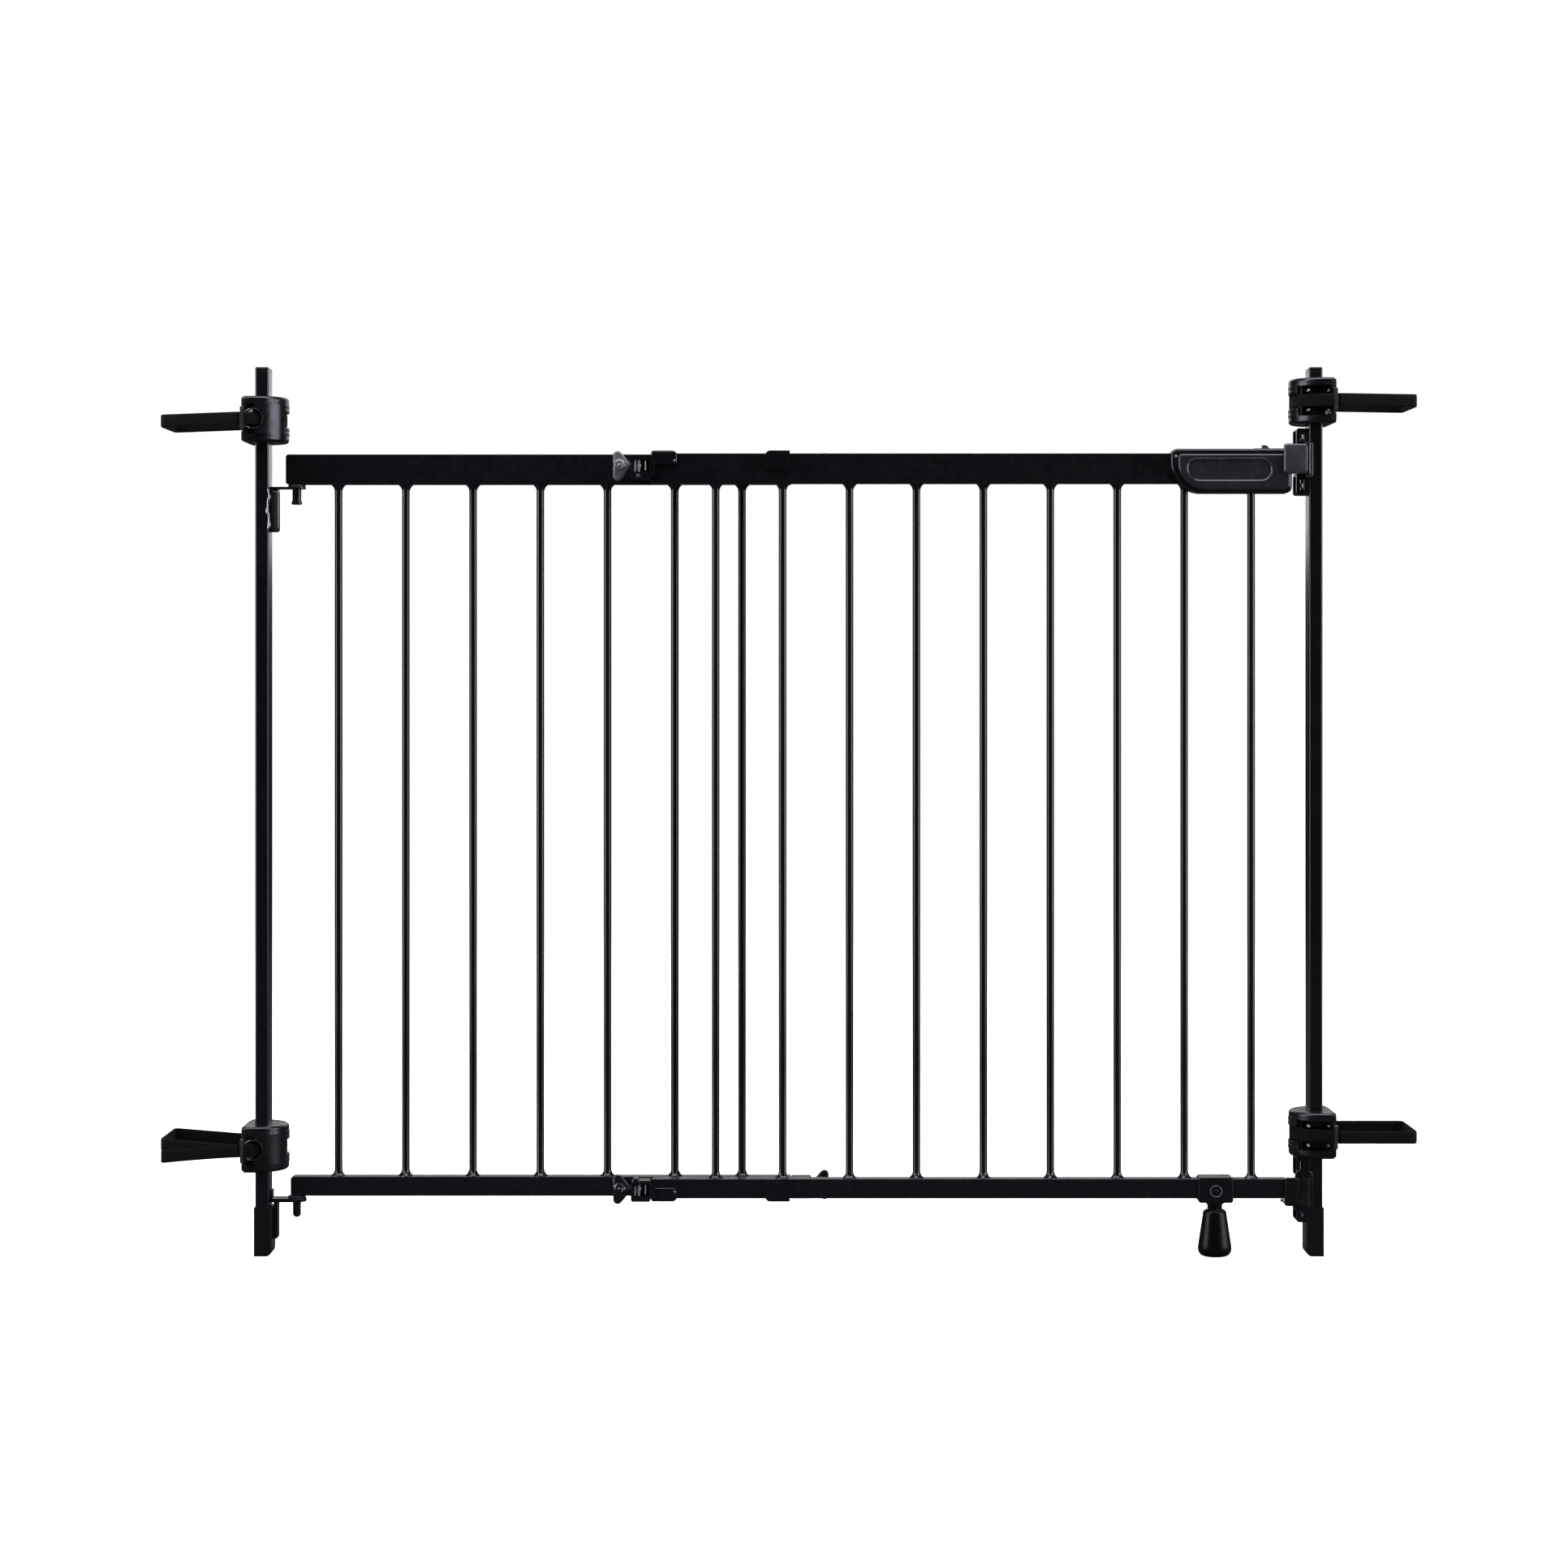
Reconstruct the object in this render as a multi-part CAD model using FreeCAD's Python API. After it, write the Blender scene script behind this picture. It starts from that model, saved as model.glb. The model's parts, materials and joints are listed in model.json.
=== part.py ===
"""Extending baby gate that straps to two square newel posts. Millimetres, +Z up, floor at z = 0.

The origin is on the floor, midway between the newels. The user stands at -Y. The rear panel hangs
on the left upright and swings away towards +Y; the front panel slides along it and latches at the right.
"""
import FreeCAD, Part
import os
from math import acos, atan2, cos, hypot, pi, sin

os.makedirs("parts", exist_ok=True)
V = FreeCAD.Vector
X_AXIS, Y_AXIS, Z_AXIS = V(1, 0, 0), V(0, 1, 0), V(0, 0, 1)

# The stairway opening that the gate is set to
OPENING = 1120.0
NEWEL_SIDE = 79.0
NEWEL_FACE = OPENING / 2

# Uprights: rectangular steel tube
UPRIGHT_W = 14.0
UPRIGHT_D = 28.0
UPRIGHT_TOP = 914.0
UPRIGHT_OUT = NEWEL_FACE - 11.5
UPRIGHT_IN = UPRIGHT_OUT - UPRIGHT_W
TUBE_WALL = 1.2
CAP_H = 5.0
PLUG_DEPTH = 14.0
BOOT_TOP = 50.0
BOOT_FLOOR = 3.0
BOOT_CORNER = 6.5

# Panels: the rear one hinged, the front one sliding on it
RAIL_D = 16.0
PANEL_Y = 8.5
TOP_RAIL_Z = (794.0, 825.0)
LOW_RAIL_Z = (60.0, 80.0)
REAR_TOP_X = (-519.0, 2.5)
REAR_LOW_X = (-514.0, 2.5)
FRONT_TOP_X = (-141.5, 471.0)
FRONT_LOW_X = (-141.5, 511.0)
RAIL_EDGE = 2.2
BAR_R = 4.0
BAR_WALL = 1.0
REAR_BARS = (7, -465.4, 69.5)
FRONT_BARS = (9, -75.3, 68.85)

# Hinge on the left upright: pins under the rear rails drop through two plates
HINGE_X = -508.5
HINGE_Y = PANEL_Y
UPPER_PIN_R = 4.6
LOWER_PIN_R = 4.2
UPPER_PIN_Z = 773.4
LOWER_PIN_Z = 37.0
PIN_COLLAR_H = 3.5
PIN_COLLAR_GROW = 0.9
RUNNING = 0.08
UPPER_PLATE_Z = (789.5, 791.5)
LOWER_PLATE_Z = (53.5, 57.5)
PLATE_HALF = 9.5
UPPER_PLATE_REACH = 9.5
LOWER_PLATE_REACH = 10.0
UPPER_LEG_Z = 745.0
LOWER_LEG_Z = 16.0
WASHER_GAP = 0.3
WASHER_R = 9.0

# Newel adapters, straps and guides; u runs from the newel face towards the gate
ADAPTER_H = 47.0
ADAPTER_Z = {"left_upper": 836.0, "left_lower": 88.5, "right_upper": 855.0, "right_lower": 102.5}
HUB_U = 10.5
HUB_R = 34.0
DRUM_R = 30.0
DRUM_WALL = 3.0
DRUM_ARC = (-100.0, 38.0)
BAND_ARC = (-84.0, 32.0)
COVER_ARC = (-84.0, -24.0)
COVER_T = 2.0
COVER_PROUD = 0.6
NOSE_REACH = 60.0
SLEEVE_WALL = 2.4
SLEEVE_GAP = 0.3
STRAP_ROOM = 1.0
WINDOW_U = 12.0
WINDOW_R = 10.0
PAD_T = 2.5
PAD_HALF = 30.0
GRIP_DEPTH = 0.8
FLANGE_H = 8.0
STRAP_T = 1.8
STRAP_W = 13.0
STRAP_SLACK = 0.3
STRAP_CORNER = 4.0
GUIDE_U = 0.6
GUIDE_T = 3.2
GUIDE_Y = (32.0, 42.8)
GUIDE_SLOT_Y = (35.4, 41.0)
GUIDE_HALF_H = 12.0
GUIDE_SLOT_HALF_H = 8.5

# Clamps that lock the panels together, and their wing knobs
CLAMP_TURN_X = -69.5
CLAMP_GAP = 0.4
CLAMP_T = 2.4
BRIDGE_X = (-140.0, -114.6)
HOOK_DEPTH = 16.5
LUG_DEPTH = 11.5
LUG_T = 2.0
RIVET_DEPTH = 7.5
HOUSING_X = -162.0
HOUSING_Y = -22.0
CLAMP_WINDOW_X = (-159.5, -143.5)
WINDOW_HALF = 6.5
NUT_X = (-158.8, -152.4)
NUT_HALF = (5.0, 6.4)
KNOB_R = 15.5
KNOB_Y = -16.0
KNOB_X = (-181.6, -170.0, -162.7)
WING_T = 7.0
STUD_R = 3.0
STUD_END_X = -146.0
CLAMPS = {
    "upper": {"edge": TOP_RAIL_Z[1], "into": -1, "knob": 13.0, "housing": (2.0, 27.0)},
    "lower": {"edge": LOW_RAIL_Z[0], "into": 1, "knob": 9.7, "housing": (-2.6, 19.0)},
}

# Latch handle, sliding button and bolt
HANDLE_X = (391.5, 516.0)
HANDLE_Z = (784.0, 829.5)
HANDLE_Y = (-24.0, 4.5)
HANDLE_BEND = 33.0
HANDLE_CORNER = 6.5
HANDLE_EDGE = 2.5
HANDLE_WALL = 2.8
RECESS_X = (408.0, 495.0)
RECESS_Z = (797.0, 820.0)
RECESS_DEPTH = 2.0
CHAMBER_HALF = 6.5
CHAMBER_Z = (806.0, 824.0)
TRAY_Z = 826.0
BOLT_Z = (811.0, 821.0)
BOLT_X = (487.0, 529.0)
BOLT_HALF = 5.0
BOLT_GAP = 0.4
BUTTON_X = (478.0, 508.8)
BUTTON_Z = (826.4, 830.3)
BUTTON_HALF = 5.3
HOOK_X = (486.3, 493.8)
HOOK_TOP = 833.6
HOOK_HALF = 4.0
STEM_X = (490.0, 498.0)
STEM_HALF = 3.5
LATCH_TRAVEL = 8.0
SPRING_R = (3.8, 2.8)

# Receivers on the right upright
UPPER_CUP = {"x": 506.5, "y": (-29.0, -25.4), "z": (803.5, 834.5), "bracket_z": (782.6, 851.0)}
LOWER_CUP = {"x": 508.5, "y": (-21.5, -18.0), "z": (52.7, 82.0), "bracket_z": (35.0, 102.0)}
BRACKET_X = 521.5
BRACKET_HALF = 13.0
END_WALL_X = 530.5
LOWER_END_WALL_X = 527.5
CUP_WALL = 3.0
EAR_REACH = 5.5
EAR_Y = (-16.0, -14.0)
TONGUE_X = 522.0
TONGUE_HALF = 6.0
TONGUE_Z = (63.5, 76.5)
TONGUE_PLUG = 18.0

# Screws on the front: x, y of the face, z, head radius
SCREWS = ((396.6, HANDLE_Y[0], 821.4, 1.8), (438.0, -21.5, 67.8, 3.2))
SCREW_HEAD_H = 1.2

# Support foot under the front panel
FOOT_X = 438.0
FOOT_CLAMP_HALF = 18.0
FOOT_CLAMP_Y = (-20.0, 2.5)
FOOT_CLAMP_Z = (55.8, 82.4)
FOOT_BOSS_Z = 67.8
FOOT_BOSS_R = 6.7
FOOT_BOSS_T = 1.5
FOOT_STEM_R = 8.35
FOOT_STEM_Z = (30.0, 55.8)
STEM_RINGS_Z = (49.5, 51.7, 53.9)
FOOT_TOP = 47.7
FOOT_WIDEST_Z = 9.0
FOOT_WIDEST_R = 17.15
FOOT_NECK_R = 12.6
FOOT_BORE_Z = 20.0


def box(x0, x1, y0, y1, z0, z1):
    return Part.makeBox(x1 - x0, y1 - y0, z1 - z0, V(x0, y0, z0))


def rod(x, y, z0, z1, radius):
    return Part.makeCylinder(radius, z1 - z0, V(x, y, z0), Z_AXIS)


def rod_x(x0, x1, y, z, radius):
    return Part.makeCylinder(radius, x1 - x0, V(x0, y, z), X_AXIS)


def rod_y(x, y0, y1, z, radius):
    return Part.makeCylinder(radius, y1 - y0, V(x, y0, z), Y_AXIS)


def edges_along(shape, direction, keep=None):
    """Straight edges parallel to direction whose midpoint passes the keep test."""
    found = []
    for edge in shape.Edges:
        start, end = edge.Vertexes[0].Point, edge.Vertexes[-1].Point
        run = end.sub(start)
        if run.Length < 1e-6 or edge.Curve.TypeId != "Part::GeomLine":
            continue
        if run.normalize().cross(direction).Length < 1e-6:
            middle = start.add(end).multiply(0.5)
            if keep is None or keep(middle):
                found.append(edge)
    return found


def soften(shape, radius, direction, keep=None):
    return shape.makeFillet(radius, edges_along(shape, direction, keep))


def fuse(first, *others):
    return first.multiFuse(list(others)).removeSplitter()


def half_turn(shape, x=0.0):
    """The shape turned by 180 degrees about the vertical line through (x, 0)."""
    turned = shape.copy()
    turned.rotate(V(x, 0, 0), Z_AXIS, 180)
    return turned


def save(name, *solids):
    shape = solids[0] if len(solids) == 1 else Part.makeCompound(list(solids))
    if not shape.isValid() or shape.Volume <= 0:
        raise ValueError(name + " is not a sound solid")
    shape.exportStep("parts/" + name + ".step")
    print(name, len(shape.Solids), "solid(s),", round(shape.Volume / 1000, 2), "cm3")


# ---------------------------------------------------------------- uprights

def upright():
    """Left upright tube, open at both ends until the cap and boot close it."""
    outer = box(-UPRIGHT_OUT, -UPRIGHT_IN, -UPRIGHT_D / 2, UPRIGHT_D / 2, BOOT_FLOOR, UPRIGHT_TOP - CAP_H)
    outer = soften(outer, RAIL_EDGE, Z_AXIS)
    inner = box(-UPRIGHT_OUT + TUBE_WALL, -UPRIGHT_IN - TUBE_WALL,
                -UPRIGHT_D / 2 + TUBE_WALL, UPRIGHT_D / 2 - TUBE_WALL, 0, UPRIGHT_TOP)
    return outer.cut(inner)


def top_cap():
    lid_z = UPRIGHT_TOP - CAP_H
    lid = box(-UPRIGHT_OUT, -UPRIGHT_IN, -UPRIGHT_D / 2, UPRIGHT_D / 2, lid_z, UPRIGHT_TOP)
    lid = soften(lid, RAIL_EDGE, Z_AXIS)
    lid = lid.makeFillet(1.8, [e for e in lid.Edges if e.BoundBox.ZMin > UPRIGHT_TOP - 0.01])
    inset = TUBE_WALL + 0.1
    plug = box(-UPRIGHT_OUT + inset, -UPRIGHT_IN - inset,
               -UPRIGHT_D / 2 + inset, UPRIGHT_D / 2 - inset, lid_z - PLUG_DEPTH, lid_z)
    return fuse(lid, plug)


def boot():
    """Plastic foot sleeve; its lower corner on the gate side is rounded off."""
    x_in = -UPRIGHT_IN + 3.0
    outer = box(-UPRIGHT_OUT - 1.2, x_in, -UPRIGHT_D / 2 - 1.5, UPRIGHT_D / 2 + 1.5, 0, BOOT_TOP)
    corner = edges_along(outer, Y_AXIS, lambda p: p.z < 1 and p.x > x_in - 1)
    outer = outer.makeFillet(BOOT_CORNER, corner)
    outer = soften(outer, 2.0, Z_AXIS)
    sleeve = box(-UPRIGHT_OUT, -UPRIGHT_IN, -UPRIGHT_D / 2, UPRIGHT_D / 2, BOOT_FLOOR, BOOT_TOP + 1)
    sleeve = soften(sleeve, RAIL_EDGE, Z_AXIS)
    return outer.cut(sleeve)


def make_uprights():
    for side in ("left", "right"):
        place = half_turn if side == "right" else (lambda shape: shape)
        save(side + "_upright", place(upright()))
        save(side + "_end_caps", place(top_cap()), place(boot()))


# ---------------------------------------------------------------- newel adapters

def belt(circles, grow, z0, z1):
    """Prism inside a taut belt round circles (x, y, r), listed anticlockwise, each r increased by grow."""
    runs = []
    for (ax, ay, ar), (bx, by, br) in zip(circles, circles[1:] + circles[:1]):
        apart = hypot(bx - ax, by - ay)
        normal = atan2(by - ay, bx - ax) - acos((ar - br) / apart)
        start = V(ax + (ar + grow) * cos(normal), ay + (ar + grow) * sin(normal), z0)
        end = V(bx + (br + grow) * cos(normal), by + (br + grow) * sin(normal), z0)
        runs.append((start, end, normal))
    edges = []
    for index, (start, end, normal) in enumerate(runs):
        following = runs[(index + 1) % len(runs)]
        x, y, r = circles[(index + 1) % len(circles)]
        turn = (following[2] - normal) % (2 * pi)
        middle = normal + turn / 2
        on_arc = V(x + (r + grow) * cos(middle), y + (r + grow) * sin(middle), z0)
        edges.append(Part.LineSegment(start, end).toShape())
        edges.append(Part.Arc(end, on_arc, following[0]).toShape())
    return Part.Face(Part.Wire(edges)).extrude(V(0, 0, z1 - z0))


def strap(z_mid):
    """Webbing loop round the left newel and the nose of its adapter."""
    side = NEWEL_SIDE / 2 + STRAP_SLACK - STRAP_CORNER
    far = -NEWEL_FACE - NEWEL_SIDE - STRAP_SLACK + STRAP_CORNER
    near = -NEWEL_FACE - STRAP_CORNER
    circles = [
        (-NEWEL_FACE + HUB_U, 0, DRUM_R + 0.4),
        (near, side, STRAP_CORNER),
        (far, side, STRAP_CORNER),
        (far, -side, STRAP_CORNER),
        (near, -side, STRAP_CORNER),
    ]
    z0, z1 = z_mid - STRAP_W / 2, z_mid + STRAP_W / 2
    return belt(circles, STRAP_T, z0, z1).cut(belt(circles, 0, z0, z1))


def ring_sector(radius_in, radius_out, start, end, z0, z1):
    """Part of a ring about the hub's axis, between two angles in degrees from the nose."""
    centre = V(-NEWEL_FACE + HUB_U, 0, z0)
    outer = Part.makeCylinder(radius_out, z1 - z0, centre, Z_AXIS, end - start)
    outer.rotate(centre, Z_AXIS, start)
    return outer.cut(Part.makeCylinder(radius_in, z1 - z0, centre, Z_AXIS))


def adapter(z0):
    """Left adapter: two D-shaped flanges, a sleeve on the upright, a drum and a strap cover."""
    base_x = -NEWEL_FACE + PAD_T
    hub = V(-NEWEL_FACE + HUB_U, 0, z0)
    z1 = z0 + ADAPTER_H
    low, high = z0 + FLANGE_H, z1 - FLANGE_H
    disc = Part.makeCylinder(HUB_R, ADAPTER_H, hub, Z_AXIS)
    keep = box(base_x, -NEWEL_FACE + NOSE_REACH, -NOSE_REACH, NOSE_REACH, z0, z1)
    disc = disc.common(keep)
    rims = [e for e in disc.Edges if e.Curve.TypeId == "Part::GeomCircle"]
    disc = disc.makeFillet(3.5, rims)
    waist = box(base_x + 3, -NEWEL_FACE + NOSE_REACH, -NOSE_REACH, NOSE_REACH, low, high)
    wall = SLEEVE_WALL
    sleeve = box(-UPRIGHT_OUT - wall, -UPRIGHT_IN + wall, -UPRIGHT_D / 2 - wall, UPRIGHT_D / 2 + wall, low, high)
    drum = ring_sector(DRUM_R - DRUM_WALL, DRUM_R, *DRUM_ARC, low, high)
    strap_low = z0 + ADAPTER_H / 2 - STRAP_W / 2 - STRAP_ROOM
    strap_high = z0 + ADAPTER_H / 2 + STRAP_W / 2 + STRAP_ROOM
    lower_band = ring_sector(DRUM_R, HUB_R, *BAND_ARC, low, strap_low)
    upper_band = ring_sector(DRUM_R, HUB_R, *BAND_ARC, strap_high, high)
    cover_r = HUB_R + COVER_PROUD
    cover = ring_sector(cover_r - COVER_T, cover_r, *COVER_ARC, low, high)
    middle = fuse(sleeve, drum.common(keep), lower_band.common(keep), upper_band.common(keep),
                  cover.common(keep))
    body = fuse(disc.cut(waist), middle)
    gap = SLEEVE_GAP
    passage = box(-UPRIGHT_OUT - gap, -UPRIGHT_IN + gap, -UPRIGHT_D / 2 - gap, UPRIGHT_D / 2 + gap,
                  z0 - 1, z1 + 1)
    window_z = z0 + ADAPTER_H / 2
    strap_door = rod_y(-NEWEL_FACE + WINDOW_U, -NOSE_REACH, -UPRIGHT_D / 2 - 6, window_z, WINDOW_R)
    return body.cut(passage).cut(strap_door)


def pad(z0):
    """Rubber pad between adapter and newel, with three grip grooves across its face."""
    face = -NEWEL_FACE
    body = box(face, face + PAD_T, -PAD_HALF, PAD_HALF, z0 + 1, z0 + ADAPTER_H - 1)
    body = soften(body, 4.0, X_AXIS)
    for step in (0.25, 0.5, 0.75):
        z = z0 + ADAPTER_H * step
        body = body.cut(box(face - 1, face + GRIP_DEPTH, -PAD_HALF - 1, PAD_HALF + 1, z - 1, z + 1))
    return body


def strap_guides(z0):
    """A pair of rectangular loops, one at each side, that the strap runs through."""
    z_mid = z0 + ADAPTER_H / 2
    x0, x1 = -NEWEL_FACE + GUIDE_U, -NEWEL_FACE + GUIDE_U + GUIDE_T
    frame = box(x0, x1, *GUIDE_Y, z_mid - GUIDE_HALF_H, z_mid + GUIDE_HALF_H)
    frame = soften(frame, 1.2, X_AXIS)
    slot = box(x0 - 1, x1 + 1, *GUIDE_SLOT_Y, z_mid - GUIDE_SLOT_HALF_H, z_mid + GUIDE_SLOT_HALF_H)
    frame = frame.cut(slot)
    frame = frame.cut(rod(-NEWEL_FACE + HUB_U, 0, z0, z0 + ADAPTER_H, HUB_R))
    twin = frame.mirror(V(0, 0, 0), Y_AXIS)
    return [frame, twin]


def make_adapters():
    for side in ("left", "right"):
        place = half_turn if side == "right" else (lambda shape: shape)
        pads, guides = [], []
        for level in ("upper", "lower"):
            z0 = ADAPTER_Z[side + "_" + level]
            save(side + "_" + level + "_adapter", place(adapter(z0)))
            save(side + "_" + level + "_strap", place(strap(z0 + ADAPTER_H / 2)))
            pads.append(place(pad(z0)))
            guides += [place(guide) for guide in strap_guides(z0)]
        save(side + "_adapter_pads", *pads)
        save(side + "_strap_guides", *guides)


# ---------------------------------------------------------------- panels

def rail(x_span, y_mid, z_span):
    """Rectangular tube, closed at its left end."""
    outer = box(x_span[0], x_span[1], y_mid - RAIL_D / 2, y_mid + RAIL_D / 2, *z_span)
    outer = soften(outer, 3.0, Y_AXIS, lambda p: p.x < x_span[0] + 1)
    outer = soften(outer, 1.5, X_AXIS)
    wall = TUBE_WALL + 0.3
    return outer.cut(box(x_span[0] + wall, x_span[1] + 1, y_mid - RAIL_D / 2 + wall,
                         y_mid + RAIL_D / 2 - wall, z_span[0] + wall, z_span[1] - wall))


def bar(x, y):
    outer = rod(x, y, LOW_RAIL_Z[1], TOP_RAIL_Z[0], BAR_R)
    return outer.cut(rod(x, y, LOW_RAIL_Z[1] - 1, TOP_RAIL_Z[0] + 1, BAR_R - BAR_WALL))


def make_panels():
    save("rear_top_rail", rail(REAR_TOP_X, PANEL_Y, TOP_RAIL_Z))
    save("rear_bottom_rail", rail(REAR_LOW_X, PANEL_Y, LOW_RAIL_Z))
    save("front_top_rail", rail(FRONT_TOP_X, -PANEL_Y, TOP_RAIL_Z))
    save("front_bottom_rail", rail(FRONT_LOW_X, -PANEL_Y, LOW_RAIL_Z))
    for panel, (count, first, pitch), y in (("rear", REAR_BARS, PANEL_Y), ("front", FRONT_BARS, -PANEL_Y)):
        for index in range(count):
            save(panel + "_bar_" + str(index + 1), bar(first + index * pitch, y))


# ---------------------------------------------------------------- hinge

def hinge_pins():
    collar_top = UPPER_PIN_Z + PIN_COLLAR_H
    upper = rod(HINGE_X, HINGE_Y, collar_top, TOP_RAIL_Z[0], UPPER_PIN_R)
    collar = rod(HINGE_X, HINGE_Y, UPPER_PIN_Z, collar_top, UPPER_PIN_R + PIN_COLLAR_GROW)
    collar = collar.makeChamfer(0.6, [collar.Edges[0], collar.Edges[2]])
    lower = rod(HINGE_X, HINGE_Y, LOWER_PIN_Z + LOWER_PIN_R, LOW_RAIL_Z[0], LOWER_PIN_R)
    tip = Part.makeSphere(LOWER_PIN_R, V(HINGE_X, HINGE_Y, LOWER_PIN_Z + LOWER_PIN_R))
    return upper, collar, fuse(lower, tip)


def hinge_washers():
    washers = []
    for plate, rail_z, pin_r in ((UPPER_PLATE_Z, TOP_RAIL_Z[0], UPPER_PIN_R),
                                 (LOWER_PLATE_Z, LOW_RAIL_Z[0], LOWER_PIN_R)):
        z0, z1 = plate[1] + WASHER_GAP, rail_z - WASHER_GAP
        ring = rod(HINGE_X, HINGE_Y, z0, z1, WASHER_R)
        washers.append(ring.cut(rod(HINGE_X, HINGE_Y, z0 - 1, z1 + 1, pin_r + RUNNING)))
    return washers


def hinge_plate(z_span, reach, pin_r):
    """Plate that stands out from the upright, rounded at its free end, with the pin's hole."""
    x_end = HINGE_X + reach
    plate = box(-UPRIGHT_IN, x_end, HINGE_Y - PLATE_HALF, HINGE_Y + PLATE_HALF, *z_span)
    plate = soften(plate, reach - 0.6, Z_AXIS, lambda p: p.x > HINGE_X)
    return plate.cut(rod(HINGE_X, HINGE_Y, z_span[0] - 1, z_span[1] + 1, pin_r + RUNNING))


def upper_hinge_bracket():
    """Plate with a box-shaped leg below it that hooks into the upright."""
    z_top = UPPER_PLATE_Z[0]
    plate = hinge_plate(UPPER_PLATE_Z, UPPER_PLATE_REACH, UPPER_PIN_R)
    leg = box(-UPRIGHT_IN, -UPRIGHT_IN + 8, -1, 13, UPPER_LEG_Z, z_top)
    leg = soften(leg, 3.0, Y_AXIS, lambda p: p.x > -UPRIGHT_IN + 7 and p.z < UPPER_LEG_Z + 1)
    groove = box(-UPRIGHT_IN + 1.6, -UPRIGHT_IN + 9, 1.2, 10.8, UPPER_LEG_Z + 3, z_top - 4)
    return fuse(plate, leg.cut(groove))


def lower_hinge_bracket():
    """Thicker plate, with a leg that runs down outside the boot and a tab above it."""
    z_top = LOWER_PLATE_Z[0]
    plate = hinge_plate(LOWER_PLATE_Z, LOWER_PLATE_REACH, LOWER_PIN_R)
    leg = box(-UPRIGHT_IN + 3.2, -UPRIGHT_IN + 7.4, 0, 14, LOWER_LEG_Z, z_top)
    leg = soften(leg, 2.0, Y_AXIS, lambda p: p.x > -UPRIGHT_IN + 7 and p.z < LOWER_LEG_Z + 1)
    tab = box(-UPRIGHT_IN, -UPRIGHT_IN + 1.8, -1, 13, LOWER_PLATE_Z[1], LOWER_PLATE_Z[1] + 9)
    return fuse(plate, leg, tab)


def make_hinge():
    save("hinge_pins", *hinge_pins())
    save("hinge_washers", *hinge_washers())
    save("upper_hinge_bracket", upper_hinge_bracket())
    save("lower_hinge_bracket", lower_hinge_bracket())


# ---------------------------------------------------------------- panel clamps

def span_z(clamp, near, far):
    """Heights of a stretch measured from the rail's hooked edge into the rail."""
    ends = (clamp["edge"] + clamp["into"] * near, clamp["edge"] + clamp["into"] * far)
    return min(ends), max(ends)


def panel_clamp(clamp):
    """Clamp on the front panel: a saddle over both rails, and a housing with the knob's nut."""
    front_face, front_back = -PANEL_Y - RAIL_D / 2, -PANEL_Y + RAIL_D / 2
    hook_y = PANEL_Y + RAIL_D / 2 + CLAMP_GAP
    end_x = FRONT_TOP_X[0]
    above = span_z(clamp, -CLAMP_GAP - CLAMP_T, -CLAMP_GAP)
    bridge = box(*BRIDGE_X, front_face, hook_y + CLAMP_T, *above)
    bridge = soften(bridge, 2.0, Y_AXIS, lambda p: p.x > BRIDGE_X[1] - 1 and abs(p.z - clamp["edge"]) > CLAMP_T)
    seat = box(*BRIDGE_X, front_face, front_back, *span_z(clamp, -CLAMP_GAP, 0))
    hook = box(*BRIDGE_X, hook_y, hook_y + CLAMP_T, *span_z(clamp, -CLAMP_GAP, HOOK_DEPTH))
    hook = soften(hook, 2.5, Y_AXIS, lambda p: abs(p.z - clamp["edge"]) > 10)
    lug_end = BRIDGE_X[1]
    lug = box(end_x, lug_end, front_face - LUG_T, front_face, *span_z(clamp, -CLAMP_GAP - CLAMP_T, LUG_DEPTH))
    lug = soften(lug, 3.0, Y_AXIS, lambda p: p.x > lug_end - 4)
    rivet_z = clamp["edge"] + clamp["into"] * RIVET_DEPTH
    rivet = rod_y(lug_end - 2.6, front_face - LUG_T - 1, front_face - LUG_T, rivet_z, 1.8)
    z0, z1 = span_z(clamp, *clamp["housing"])
    housing = box(HOUSING_X, end_x - 0.2, HOUSING_Y, front_back + 0.4, z0, z1)
    housing = soften(housing, 2.0, Y_AXIS)
    knob_z = clamp["edge"] + clamp["into"] * clamp["knob"]
    window = box(*CLAMP_WINDOW_X, HOUSING_Y - 1, HOUSING_Y + 15, knob_z - WINDOW_HALF, knob_z + WINDOW_HALF)
    bore = rod_x(HOUSING_X - 1, CLAMP_WINDOW_X[0] + 1, KNOB_Y, knob_z, STUD_R + 0.3)
    link = box(end_x - 1, end_x + 4, HOUSING_Y, front_face, z0 + 3, z1 - 3)
    body = fuse(bridge, seat, hook, lug, rivet, housing.cut(window).cut(bore), link)
    return body, clamp_nut(knob_z)


def clamp_nut(knob_z):
    """Square steel nut held in the housing's window, threaded on the knob's stud."""
    half_y, half_z = NUT_HALF
    nut = box(*NUT_X, KNOB_Y - half_y, KNOB_Y + half_y, knob_z - half_z, knob_z + half_z)
    nut = nut.makeChamfer(0.8, edges_along(nut, X_AXIS))
    return nut.cut(rod_x(NUT_X[0] - 1, NUT_X[1] + 1, KNOB_Y, knob_z, STUD_R + RUNNING))


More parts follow.
